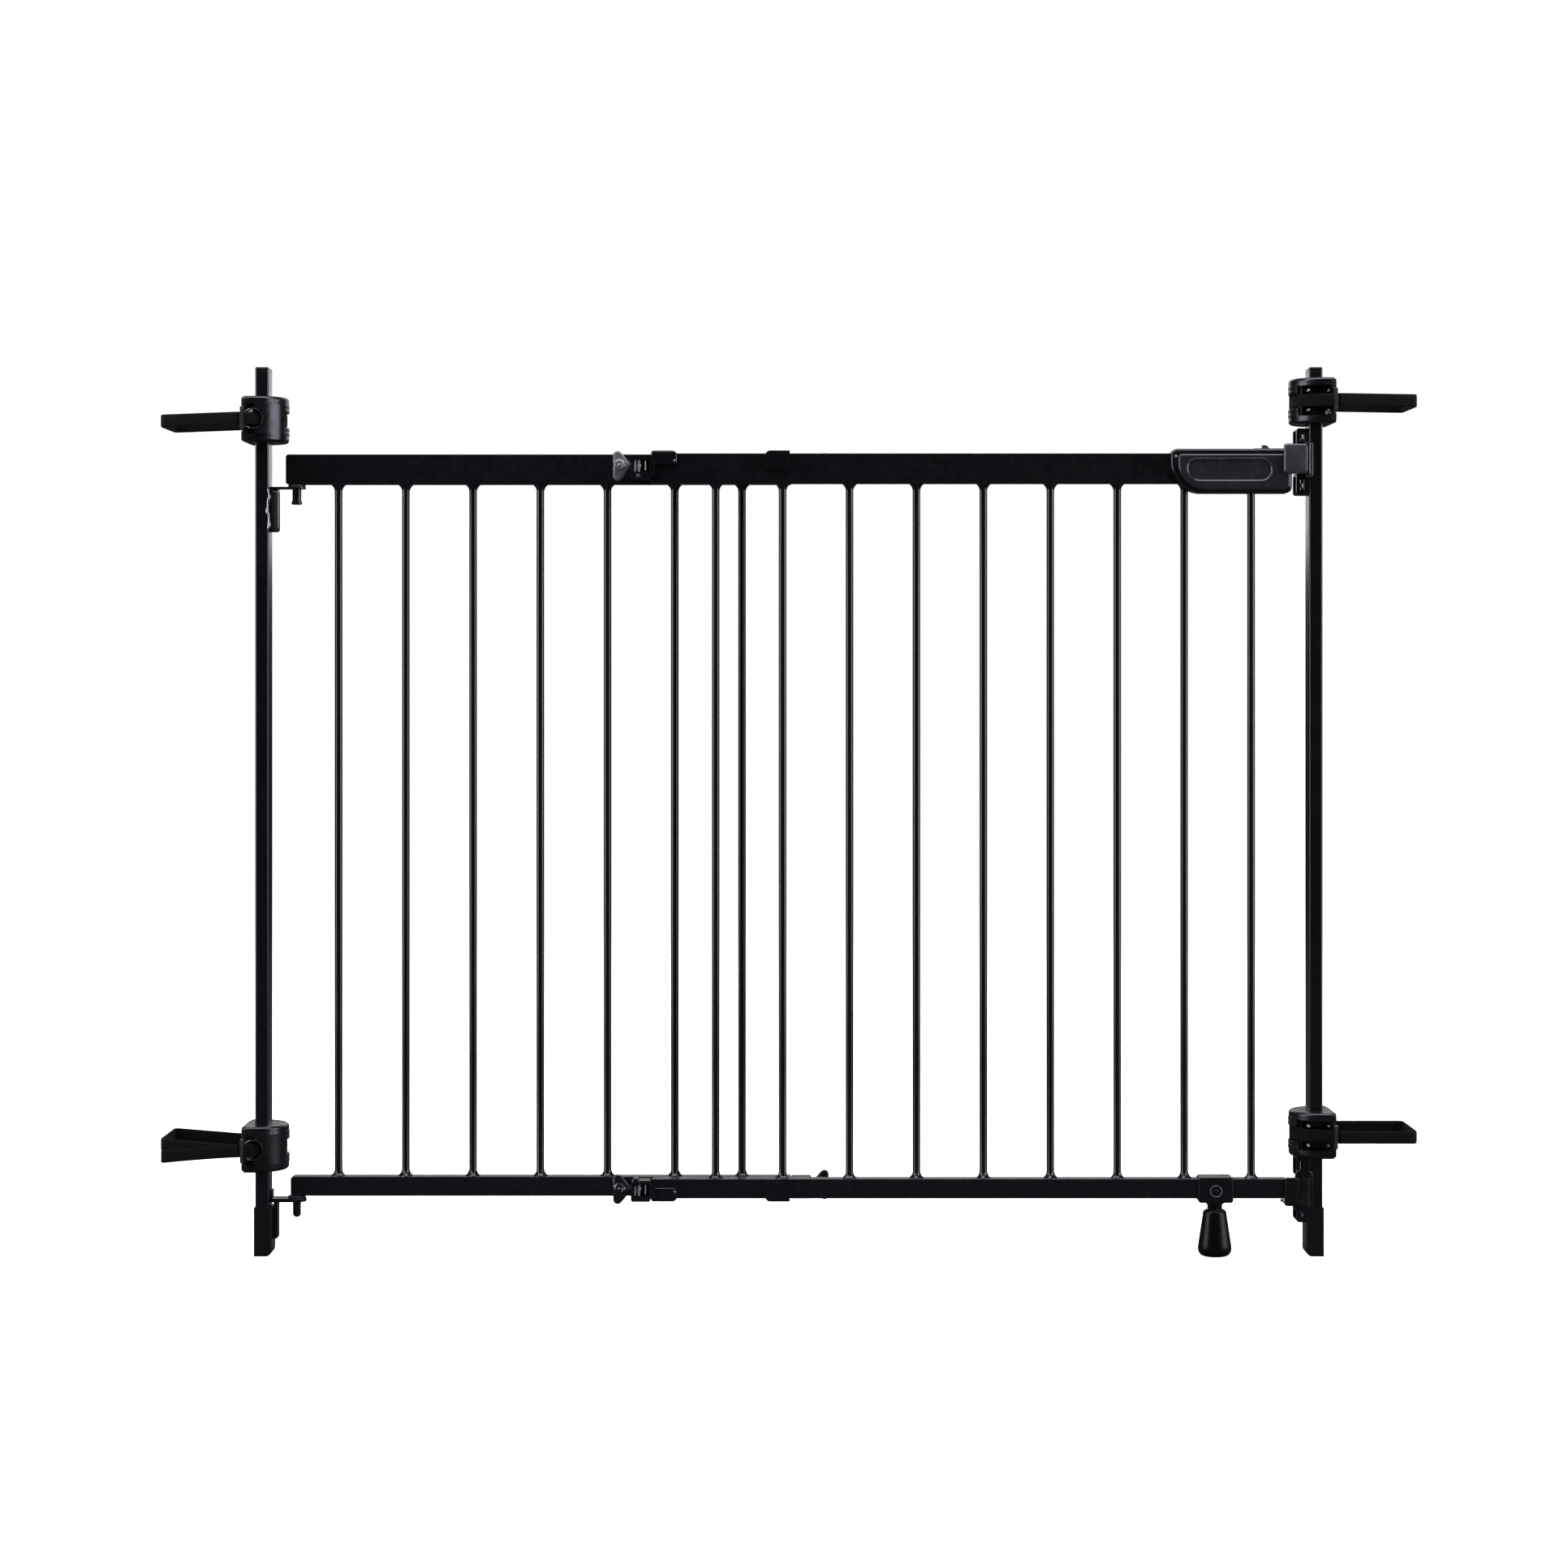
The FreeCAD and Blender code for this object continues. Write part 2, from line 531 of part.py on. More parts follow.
def wing_knob(clamp):
    """Two-winged thumb knob on a stud; its axis lies along the rails."""
    z = clamp["edge"] + clamp["into"] * clamp["knob"]
    outer, inner, neck = KNOB_X
    half = [(outer, KNOB_R - 3), (outer + 2.5, KNOB_R), (outer + 6.5, KNOB_R - 1.2), (inner + 1.5, 7.5), (neck, 4)]
    points = [V(x, 0, z + up) for x, up in half] + [V(x, 0, z - up) for x, up in reversed(half)]
    outline = Part.Face(Part.makePolygon(points + points[:1]))
    wing = outline.extrude(V(0, WING_T, 0))
    wing.translate(V(0, KNOB_Y - WING_T / 2, 0))
    envelope = rod_x(outer, neck, KNOB_Y, z, KNOB_R)
    hub = Part.makeCone(7.5, 4.5, neck - outer, V(outer, KNOB_Y, z), X_AXIS)
    stud = rod_x(neck, STUD_END_X, KNOB_Y, z, STUD_R)
    return fuse(wing.common(envelope), hub, stud)


def make_clamps():
    for level, clamp in CLAMPS.items():
        body, nut = panel_clamp(clamp)
        knob = wing_knob(clamp)
        save("front_clamp_" + level, body, nut)
        save("front_knob_" + level, knob)
        save("rear_clamp_" + level, half_turn(body, CLAMP_TURN_X), half_turn(nut, CLAMP_TURN_X))
        save("rear_knob_" + level, half_turn(knob, CLAMP_TURN_X))


# ---------------------------------------------------------------- latch

def handle_block():
    """Whole handle before it is split: a long block whose lower left corner is one large curve."""
    block = box(*HANDLE_X, *HANDLE_Y, *HANDLE_Z)
    block = soften(block, HANDLE_BEND, Y_AXIS, lambda p: p.x < HANDLE_X[0] + 1 and p.z < HANDLE_Z[0] + 1)
    block = soften(block, HANDLE_CORNER, Y_AXIS, lambda p: p.x < HANDLE_X[0] + 1 and p.z > HANDLE_Z[1] - 1)
    block = soften(block, HANDLE_CORNER, Y_AXIS, lambda p: p.x > HANDLE_X[1] - 1 and p.z < HANDLE_Z[0] + 1)
    front = [e for e in block.Edges if e.BoundBox.YMax < HANDLE_Y[0] + 0.01]
    back = [e for e in block.Edges if e.BoundBox.YMin > HANDLE_Y[1] - 0.01]
    return block.makeFillet(HANDLE_EDGE, front + back)


def handle_shells():
    """Front and rear shells round the top rail's end, with rooms for bolt, spring and button."""
    y = -PANEL_Y
    rail_room = box(HANDLE_X[0] - 5, FRONT_TOP_X[1], y - RAIL_D / 2, y + RAIL_D / 2, *TOP_RAIL_Z)
    rail_room = soften(rail_room, 1.5, X_AXIS)
    chamber = box(FRONT_TOP_X[1] - 0.5, HANDLE_X[1] - HANDLE_WALL, y - CHAMBER_HALF, y + CHAMBER_HALF, *CHAMBER_Z)
    bolt_room = BOLT_HALF + BOLT_GAP
    bolt_hole = box(HANDLE_X[1] - 4, HANDLE_X[1] + 1, y - bolt_room, y + bolt_room,
                    BOLT_Z[0] - BOLT_GAP, BOLT_Z[1] + BOLT_GAP)
    tray_half = BUTTON_HALF + 0.5
    tray = box(BUTTON_X[0] - LATCH_TRAVEL - 0.6, BUTTON_X[1] + 0.6, y - tray_half, y + tray_half,
               TRAY_Z, HANDLE_Z[1] + 1)
    slot_half = STEM_HALF + 0.4
    stem_slot = box(STEM_X[0] - LATCH_TRAVEL - 0.6, STEM_X[1] + 0.6, y - slot_half, y + slot_half,
                    CHAMBER_Z[1] - 1, TRAY_Z + 1)
    recess = box(*RECESS_X, HANDLE_Y[0] - 1, HANDLE_Y[0] + RECESS_DEPTH, *RECESS_Z)
    recess = soften(recess, (RECESS_Z[1] - RECESS_Z[0]) / 2 - 0.1, Y_AXIS)
    hollow = block_without(handle_block(), rail_room, chamber, bolt_hole, tray, stem_slot, recess)
    last_bar_x = FRONT_BARS[1] + (FRONT_BARS[0] - 1) * FRONT_BARS[2]
    for x in (last_bar_x - FRONT_BARS[2], last_bar_x):
        hollow = hollow.cut(rod(x, y, HANDLE_Z[0] - 1, TOP_RAIL_Z[0] + 1, BAR_R + 0.2))
    front_half = box(HANDLE_X[0] - 1, HANDLE_X[1] + 1, HANDLE_Y[0] - 1, y, HANDLE_Z[0] - 1, HOOK_TOP)
    rear_half = box(HANDLE_X[0] - 1, HANDLE_X[1] + 1, y, HANDLE_Y[1] + 1, HANDLE_Z[0] - 1, HOOK_TOP)
    return hollow.common(front_half), hollow.common(rear_half)


def block_without(block, *rooms):
    for room in rooms:
        block = block.cut(room)
    return block


def latch_button():
    """Slide plate on top of the handle, with a thumb hook and a stem down to the bolt."""
    y = -PANEL_Y
    plate = box(*BUTTON_X, y - BUTTON_HALF, y + BUTTON_HALF, *BUTTON_Z)
    plate = soften(plate, 1.5, Z_AXIS)
    hook = box(*HOOK_X, y - HOOK_HALF, y + HOOK_HALF, BUTTON_Z[1], HOOK_TOP)
    hook = hook.makeChamfer(3.0, edges_along(hook, Y_AXIS, lambda p: p.x > HOOK_X[1] - 1 and p.z > HOOK_TOP - 1))
    stem = box(*STEM_X, y - STEM_HALF, y + STEM_HALF, BOLT_Z[1], BUTTON_Z[0])
    return fuse(plate, hook, stem)


def latch_bolt():
    y = -PANEL_Y
    bolt = box(*BOLT_X, y - BOLT_HALF, y + BOLT_HALF, *BOLT_Z)
    nose = edges_along(bolt, Z_AXIS, lambda p: p.x > BOLT_X[1] - 1)
    return bolt.makeChamfer(2.0, nose)


def latch_spring():
    """Compression spring behind the bolt, as one tube of its outer size."""
    z = sum(BOLT_Z) / 2
    x0, x1 = FRONT_TOP_X[1] + 0.2, BOLT_X[0] - 0.1
    outer, inner = SPRING_R
    return rod_x(x0, x1, -PANEL_Y, z, outer).cut(rod_x(x0 - 1, x1 + 1, -PANEL_Y, z, inner))


def slotted_bracket(z0, z1):
    """Channel bracket against the upright, with a slot through its front and back walls."""
    block = box(BRACKET_X, UPRIGHT_IN, -BRACKET_HALF, BRACKET_HALF, z0, z1)
    block = soften(block, 3.0, Y_AXIS, lambda p: p.x < BRACKET_X + 1)
    hollow_half = BRACKET_HALF - 3
    hollow = box(BRACKET_X - 1, UPRIGHT_IN - 3, -hollow_half, hollow_half, z0 + 2.5, z1 - 2.5)
    slot = box(BRACKET_X + 4, BRACKET_X + 8, -BRACKET_HALF - 1, BRACKET_HALF + 1, z0 + 5, z1 - 5)
    return block.cut(hollow).cut(slot)


def receiver_ear(z0, z1):
    """Thin flange that laps onto the front of the upright's inner side."""
    ear = box(UPRIGHT_IN, UPRIGHT_IN + EAR_REACH, *EAR_Y, z0, z1)
    return soften(ear, 3.5, Y_AXIS, lambda p: p.x > UPRIGHT_IN + EAR_REACH - 1)


def upper_latch_receiver():
    """Cup on the right upright, open at the back and top, on a slotted bracket."""
    x1, (y0, y1), (z0, z1) = UPRIGHT_IN, UPPER_CUP["y"], UPPER_CUP["z"]
    end_wall = box(END_WALL_X, x1, y0, BRACKET_HALF, z0, z1)
    front_wall = box(UPPER_CUP["x"], x1, y0, y1, z0, z1)
    shelf = box(BRACKET_X, x1, y0 + 2, BRACKET_HALF - 2, z0, z0 + CUP_WALL)
    roof = box(BRACKET_X, x1, y0 + 2, BRACKET_HALF - 2, z1 - CUP_WALL, z1)
    cup = fuse(end_wall, front_wall, shelf, roof)
    cup = soften(cup, 3.0, Z_AXIS, lambda p: p.y < y0 + 0.1)
    root = box(END_WALL_X, x1, *EAR_Y, z0, z1)
    low, high = UPPER_CUP["bracket_z"]
    return fuse(cup, receiver_ear(z0 - 2, z1 + 2), root, slotted_bracket(z1 - 1, high), slotted_bracket(low, z0 + 1))


def lower_latch_receiver():
    """Cup for the tongue, open at the back and top, with its lower bracket beside the boot."""
    x1, (y0, y1), (z0, z1) = UPRIGHT_IN, LOWER_CUP["y"], LOWER_CUP["z"]
    end_wall = box(LOWER_END_WALL_X, x1, y0, BRACKET_HALF, z0, z1)
    front_wall = box(LOWER_CUP["x"], x1, y0, y1, z0, z1)
    shelf = box(LOWER_CUP["x"], x1, y0 + 1.5, BRACKET_HALF - 2, z0, z0 + CUP_WALL)
    cup = fuse(end_wall, front_wall, shelf)
    cup = soften(cup, 3.0, Z_AXIS, lambda p: p.y < y0 + 0.1)
    root = box(LOWER_END_WALL_X, x1, *EAR_Y, z0, z1)
    low, high = LOWER_CUP["bracket_z"]
    boot_half = UPRIGHT_D / 2 + 2
    boot_room = box(x1 - 3, x1 + 1, -boot_half, boot_half, low - 5, BOOT_TOP)
    lower_bracket = slotted_bracket(low, z0 + 1).cut(boot_room)
    return fuse(cup, receiver_ear(z0 - 2, z1 + 6), root, slotted_bracket(z1 - 1, high), lower_bracket)


def lower_latch_tongue():
    """Plug in the end of the front bottom rail, with a tongue that rests in the lower receiver."""
    y = -PANEL_Y
    wall = TUBE_WALL + 0.4
    half = RAIL_D / 2 - wall
    end_x = FRONT_LOW_X[1]
    plug = box(end_x - TONGUE_PLUG, end_x, y - half, y + half, LOW_RAIL_Z[0] + wall, LOW_RAIL_Z[1] - wall)
    tongue = box(end_x, TONGUE_X, y - TONGUE_HALF, y + TONGUE_HALF, *TONGUE_Z)
    tongue = soften(tongue, 3.0, Y_AXIS, lambda p: p.x > TONGUE_X - 1)
    return fuse(plug, tongue)


def front_fasteners():
    """Handle screw and foot clamp screw, both with domed heads."""
    screws = []
    for x, y, z, radius in SCREWS:
        head = rod_y(x, y - SCREW_HEAD_H, y, z, radius)
        rim = [e for e in head.Edges if e.BoundBox.YMax < y - SCREW_HEAD_H + 0.1]
        screws.append(head.makeFillet(SCREW_HEAD_H * 0.65, rim))
    return screws


def make_latch():
    front, rear = handle_shells()
    save("handle_front_shell", front)
    save("handle_rear_shell", rear)
    save("latch_button", latch_button())
    save("latch_bolt", latch_bolt())
    save("latch_spring", latch_spring())
    save("upper_latch_receiver", upper_latch_receiver())
    save("lower_latch_receiver", lower_latch_receiver())
    save("lower_latch_tongue", lower_latch_tongue())
    save("front_fasteners", *front_fasteners())


# ---------------------------------------------------------------- support foot

def foot_clamp():
    """Block round the bottom rail with a ring boss on its front."""
    y = -PANEL_Y
    x0, x1 = FOOT_X - FOOT_CLAMP_HALF, FOOT_X + FOOT_CLAMP_HALF
    block = box(x0, x1, *FOOT_CLAMP_Y, *FOOT_CLAMP_Z)
    block = soften(block, 3.0, Y_AXIS)
    block = soften(block, 1.5, X_AXIS, lambda p: p.z > FOOT_CLAMP_Z[1] - 1)
    room = box(x0 - 1, x1 + 1, y - RAIL_D / 2, y + RAIL_D / 2, *LOW_RAIL_Z)
    room = soften(room, 1.5, X_AXIS)
    face = FOOT_CLAMP_Y[0]
    boss = rod_y(FOOT_X, face - FOOT_BOSS_T, face, FOOT_BOSS_Z, FOOT_BOSS_R)
    boss = boss.makeFillet(0.7, [e for e in boss.Edges if e.BoundBox.YMax < face - FOOT_BOSS_T + 0.1])
    return fuse(block.cut(room), boss)


def foot_stem():
    """Screw stem below the clamp; its thread shows as rings between clamp and foot."""
    y, (z0, z1) = -PANEL_Y, FOOT_STEM_Z
    stem = rod(FOOT_X, y, z0, z1, FOOT_STEM_R)
    stem = stem.makeChamfer(1.0, [e for e in stem.Edges if e.BoundBox.ZMax < z0 + 0.1])
    for z in STEM_RINGS_Z:
        groove = rod(FOOT_X, y, z, z + 1.0, FOOT_STEM_R + 1)
        stem = stem.cut(groove.cut(rod(FOOT_X, y, z, z + 1.0, FOOT_STEM_R - 0.9)))
    return stem


def rubber_foot():
    """Bell-shaped foot with a deep bore for the stem."""
    top, neck_z = FOOT_TOP, FOOT_TOP - 6
    profile = Part.makePolygon([V(0, 0, 0), V(10.5, 0, 0)])
    heel = Part.Arc(V(10.5, 0, 0), V(15.8, 0, 2.6), V(FOOT_WIDEST_R, 0, FOOT_WIDEST_Z)).toShape()
    flank = Part.LineSegment(V(FOOT_WIDEST_R, 0, FOOT_WIDEST_Z), V(FOOT_NECK_R, 0, neck_z)).toShape()
    shoulder = Part.Arc(V(FOOT_NECK_R, 0, neck_z), V(11.9, 0, top - 2.2), V(9.9, 0, top)).toShape()
    lid = Part.makePolygon([V(9.9, 0, top), V(0, 0, top), V(0, 0, 0)])
    face = Part.Face(Part.Wire(profile.Edges + [heel, flank, shoulder] + lid.Edges))
    bell = face.revolve(V(0, 0, 0), Z_AXIS, 360)
    bell.translate(V(FOOT_X, -PANEL_Y, 0))
    return bell.cut(rod(FOOT_X, -PANEL_Y, FOOT_BORE_Z, top + 1, FOOT_STEM_R + RUNNING))


def make_foot():
    save("foot_clamp", foot_clamp())
    save("foot_stem", foot_stem())
    save("rubber_foot", rubber_foot())


make_uprights()
make_adapters()
make_panels()
make_hinge()
make_clamps()
make_latch()
make_foot()
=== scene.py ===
"""Looks of the strap-on baby gate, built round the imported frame. Metres, +Z up, the user stands at -Y."""
import json
import random
import re
from math import acos, atan2, ceil, cos, hypot, pi, radians, sin

import bmesh
import bpy
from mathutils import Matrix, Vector


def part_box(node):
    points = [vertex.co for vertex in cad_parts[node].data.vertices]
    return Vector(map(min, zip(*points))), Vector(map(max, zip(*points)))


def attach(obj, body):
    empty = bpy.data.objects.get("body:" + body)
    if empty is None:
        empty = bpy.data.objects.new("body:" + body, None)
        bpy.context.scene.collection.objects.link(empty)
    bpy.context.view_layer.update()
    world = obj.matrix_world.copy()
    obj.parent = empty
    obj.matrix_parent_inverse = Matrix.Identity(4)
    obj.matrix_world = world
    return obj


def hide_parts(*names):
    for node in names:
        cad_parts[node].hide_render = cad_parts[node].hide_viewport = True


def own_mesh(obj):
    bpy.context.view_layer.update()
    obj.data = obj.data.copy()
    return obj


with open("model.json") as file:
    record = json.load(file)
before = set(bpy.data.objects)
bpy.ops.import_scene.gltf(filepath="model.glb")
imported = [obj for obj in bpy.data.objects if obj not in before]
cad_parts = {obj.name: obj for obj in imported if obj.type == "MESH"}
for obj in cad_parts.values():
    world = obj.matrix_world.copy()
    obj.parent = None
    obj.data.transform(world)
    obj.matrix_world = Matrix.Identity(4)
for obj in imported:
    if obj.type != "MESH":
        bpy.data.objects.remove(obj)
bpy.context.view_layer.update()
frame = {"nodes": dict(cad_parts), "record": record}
MM = 0.001
SLOT_OF = {row["node"]: row["material_slot"] for row in frame["record"]["subparts"]}
BODY_OF = {node: body for body, nodes in frame["record"]["behaviour"]["bodies"].items() for node in nodes}
rng = random.Random(7)


# ---------------------------------------------------------------- materials

def shader_tree(name):
    """A new material with its node tree, shader and object-space coordinates."""
    made = bpy.data.materials.new(name)
    made.use_nodes = True
    tree = made.node_tree
    shader = tree.nodes["Principled BSDF"]
    place = tree.nodes.new("ShaderNodeTexCoord")
    return made, tree, shader, place


def feed(tree, node, inputs):
    """Sets a node's inputs, each to a value or from another node's output."""
    for name, value in inputs.items():
        if isinstance(value, bpy.types.NodeSocket):
            tree.links.new(value, node.inputs[name])
        else:
            node.inputs[name].default_value = value


def noise(tree, vector, scale, detail=3.0, roughness=0.55):
    node = tree.nodes.new("ShaderNodeTexNoise")
    feed(tree, node, {"Vector": vector, "Scale": scale, "Detail": detail, "Roughness": roughness})
    return node.outputs["Fac"]


def remap(tree, value, low, high, start=0.3, stop=0.7):
    node = tree.nodes.new("ShaderNodeMapRange")
    feed(tree, node, {"Value": value, "From Min": start, "From Max": stop, "To Min": low, "To Max": high})
    return node.outputs["Result"]


def blend_colours(tree, factor, first, second):
    """Mix of two colours; either may be a colour tuple or another node's output."""
    node = tree.nodes.new("ShaderNodeMix")
    node.data_type = "RGBA"
    first, second = [(*colour, 1) if isinstance(colour, tuple) else colour for colour in (first, second)]
    feed(tree, node, {"Factor": factor, "A": first, "B": second})
    return node.outputs["Result"]


def multiply(tree, first, second):
    node = tree.nodes.new("ShaderNodeMath")
    node.operation = "MULTIPLY"
    feed(tree, node, {0: first, 1: second})
    return node.outputs[0]


def bump(tree, shader, height, depth, after=None):
    node = tree.nodes.new("ShaderNodeBump")
    feed(tree, node, {"Height": height, "Strength": 1.0, "Distance": depth})
    if after is not None:
        feed(tree, node, {"Normal": after})
    feed(tree, shader, {"Normal": node.outputs["Normal"]})
    return node.outputs["Normal"]


def hard_finish(name, colour, rough, spread, grain, depth, wear, coat=0.0, metallic=0.0, specular=0.5):
    """Paint, plastic, rubber or metal: mottled colour, uneven gloss, fine grain, paler worn edges."""
    made, tree, shader, place = shader_tree(name)
    here = place.outputs["Object"]
    mottle = remap(tree, noise(tree, here, 34.0, 4.0), 0.0, 1.0)
    dark, light = [tuple(share * part for part in colour) for share in (0.78, 1.3)]
    body = blend_colours(tree, mottle, dark, light)
    geometry = tree.nodes.new("ShaderNodeNewGeometry")
    edge = remap(tree, geometry.outputs["Pointiness"], 0.0, wear, 0.515, 0.56)
    patchy = multiply(tree, edge, remap(tree, noise(tree, here, 160.0), 0.2, 1.0, 0.42, 0.62))
    worn = tuple(min(1.0, 0.03 + 2.6 * part) for part in colour)
    gloss = remap(tree, noise(tree, here, 75.0, 5.0), rough - spread, rough + spread)
    feed(tree, shader, {"Base Color": blend_colours(tree, patchy, body, worn), "Roughness": gloss,
                        "Metallic": metallic, "Specular IOR Level": specular,
                        "Specular Tint": (0.88, 0.86, 1.0, 1), "Coat Weight": coat, "Coat Roughness": 0.22})
    broad = bump(tree, shader, noise(tree, here, 260.0, 2.0), depth * 1.2)
    bump(tree, shader, noise(tree, here, grain, 2.0), depth, broad)
    return made


def webbing_finish(name):
    """Black polyester webbing: ribs across it, fine threads along it, fuzz and a faint dusty sheen."""
    made, tree, shader, place = shader_tree(name)
    here = place.outputs["UV"]
    ribs, threads = [tree.nodes.new("ShaderNodeTexWave") for _ in range(2)]
    ribs.bands_direction, threads.bands_direction = "X", "Y"
    feed(tree, ribs, {"Vector": here, "Scale": 210.0, "Distortion": 0.6, "Detail": 1.0})
    feed(tree, threads, {"Vector": here, "Scale": 420.0, "Distortion": 1.2})
    fuzz = noise(tree, here, 2600.0, 3.0)
    weave = multiply(tree, ribs.outputs["Fac"], remap(tree, threads.outputs["Fac"], 0.55, 1.0, 0.0, 1.0))
    colour = blend_colours(tree, weave, (0.0005, 0.0005, 0.0007), (0.0034, 0.0034, 0.0044))
    dusty = remap(tree, noise(tree, here, 60.0, 4.0), 0.0, 0.3)
    feed(tree, shader, {"Base Color": blend_colours(tree, dusty, colour, (0.003, 0.003, 0.0036)),
                        "Roughness": remap(tree, fuzz, 0.72, 0.95), "Sheen Weight": 0.02,
                        "Sheen Roughness": 0.5, "Specular IOR Level": 0.14})
    broad = bump(tree, shader, weave, 0.00022)
    bump(tree, shader, fuzz, 0.00008, broad)
    return made


def make_finishes():
    """One finish for each material slot, and a few for pieces that differ from the rest of their slot; these
    few are lighter copies whose paler colour is painted light.
    """
    black, blue_black = (0.0032, 0.0032, 0.0037), (0.0030, 0.0030, 0.0043)
    return {
        "coated_steel": hard_finish("powder_coat", blue_black, 0.24, 0.04, 1900.0, 0.000005, 0.08,
                                    coat=0.1, specular=0.4),
        "satin_plastic": hard_finish("satin_nylon", black, 0.26, 0.05, 2600.0, 0.000005, 0.14, specular=0.45),
        "handle_plastic": hard_finish("moulded_handle", (0.0034, 0.0034, 0.0042), 0.22, 0.04, 2400.0,
                                      0.000003, 0.12, coat=0.1, specular=0.4),
        # A lighter copy of the handle's plastic: its paler colour is painted light, the light the raised face
        # catches.
        "handle_face_painted_light": hard_finish("handle_face_painted_light", (0.0145, 0.0142, 0.019), 0.24, 0.04, 2400.0, 0.000003,
                                   0.12, coat=0.2),
        "knob_plastic": hard_finish("glossy_knob", (0.005, 0.005, 0.006), 0.2, 0.05, 1500.0, 0.000003, 0.15,
                                    coat=0.3),
        "guide_plastic": hard_finish("guide_grey", (0.022, 0.022, 0.028), 0.3, 0.06, 1800.0, 0.000004, 0.2),
        "grip_rubber": hard_finish("grip_rubber", (0.008, 0.008, 0.008), 0.78, 0.08, 1700.0, 0.00002, 0.2,
                                   specular=0.3),
        "foot_rubber": hard_finish("foot_rubber", (0.0022, 0.0022, 0.0026), 0.3, 0.06, 1500.0, 0.000008, 0.2,
                                   specular=0.16),
        "webbing": webbing_finish("webbing"),
        "nylon": hard_finish("washer_nylon", (0.018, 0.018, 0.019), 0.5, 0.06, 1500.0, 0.000005, 0.1),
        "bare_steel": hard_finish("zinc_plate", (0.62, 0.62, 0.63), 0.28, 0.08, 1400.0, 0.000005, 0.1,
                                  metallic=1.0),
        # Half-metal zinc whose pale base colour is a painted glint: it makes steel bits read bright from the
        # front, where plain metal would reflect the dark.
        "bright_zinc": hard_finish("bright_zinc", (0.3, 0.3, 0.32), 0.24, 0.06, 1400.0, 0.000004, 0.1,
                                   metallic=0.4, specular=0.7),
        # A pale copy of the knob plastic for the upper front knob alone: its paler colour is a painted
        # highlight, the light that knob catches from above.
        "knob_painted_highlight": hard_finish("knob_painted_highlight", (0.085, 0.084, 0.1), 0.24, 0.05, 1500.0, 0.000003, 0.12,
                                 coat=0.3),
        # A lighter grey copy of the dark plastic, put on pieces to paint the highlights and lit faces they
        # catch.
        "grey_plastic_painted_light": hard_finish("grey_plastic_painted_light", (0.032, 0.031, 0.04), 0.27, 0.05, 2000.0, 0.000004,
                                       0.12, coat=0.2),
    }


FINISH = make_finishes()


# ---------------------------------------------------------------- building pieces

def settle(obj, body, slot, replaces=(), bevel=0.0, segments=2, smooth_deg=38.0, finish=None):
    """Gives a piece its finish, rounded edges, body and the CAD nodes it stands for."""
    if obj.data.materials:
        obj.data.materials.clear()
    obj.data.materials.append(FINISH[finish or slot])
    if obj.type == "MESH":
        obj.data.shade_smooth()
        obj.data.set_sharp_from_angle(angle=radians(smooth_deg))
        if bevel:
            rounding = obj.modifiers.new("rounded_edges", "BEVEL")
            rounding.width = bevel
            rounding.segments = segments
            rounding.limit_method = "ANGLE"
            rounding.angle_limit = radians(32)
            rounding.harden_normals = True
            rounding.use_clamp_overlap = True
    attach(obj, body)
    if replaces:
        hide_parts(*replaces)
    return obj


def mesh_object(name, verts, faces):
    data = bpy.data.meshes.new(name)
    data.from_pydata([tuple(v) for v in verts], [], faces)
    data.validate()
    sheet = bmesh.new()
    sheet.from_mesh(data)
    bmesh.ops.recalc_face_normals(sheet, faces=sheet.faces)
    sheet.to_mesh(data)
    sheet.free()
    made = bpy.data.objects.new(name, data)
    bpy.context.collection.objects.link(made)
    return made


def drop_small_solids(sheet, span):
    """Deletes the loose solids shorter than span along X, which other pieces stand for."""
    left = set(sheet.verts)
    while left:
        island, open_ends = set(), [left.pop()]
        while open_ends:
            vertex = open_ends.pop()
            island.add(vertex)
            for edge in vertex.link_edges:
                beyond = edge.other_vert(vertex)
                if beyond in left:
                    left.remove(beyond)
                    open_ends.append(beyond)
        places = [vertex.co.x for vertex in island]
        if max(places) - min(places) < span:
            bmesh.ops.delete(sheet, geom=list(island), context="VERTS")


def refined(node, bevel=0.0005, segments=2, drop_under=0.0, cutters=(), finish=None):
    """A copy of a CAD node with clean faces and softly rounded edges, standing for that node."""
    data = frame["nodes"][node].data.copy()
    sheet = bmesh.new()
    sheet.from_mesh(data)
    bmesh.ops.remove_doubles(sheet, verts=sheet.verts, dist=2e-6)
    if drop_under:
        drop_small_solids(sheet, drop_under)
    bmesh.ops.dissolve_limit(sheet, angle_limit=radians(1.0), verts=sheet.verts, edges=sheet.edges)
    sheet.to_mesh(data)
    sheet.free()
    for layer in ("sharp_face", "sharp_edge"):
        if layer in data.attributes:
            data.attributes.remove(data.attributes[layer])
    made = bpy.data.objects.new(node + "_finished", data)
    bpy.context.collection.objects.link(made)
    if cutters:
        carve(made, *cutters)
    return settle(made, BODY_OF[node], SLOT_OF[node], (node,), bevel, segments, finish=finish)


def middle_of(node):
    """Centre of a node's box."""
    return [(a + b) / 2 for a, b in zip(*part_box(node))]


def block(name, low, high):
    """Plain block between two corners, ready for settle to round."""
    verts = [(x, y, z) for x in (low[0], high[0]) for y in (low[1], high[1]) for z in (low[2], high[2])]
    faces = [(0, 1, 3, 2), (4, 6, 7, 5), (0, 4, 5, 1), (2, 3, 7, 6), (0, 2, 6, 4), (1, 5, 7, 3)]
    return mesh_object(name, verts, faces)


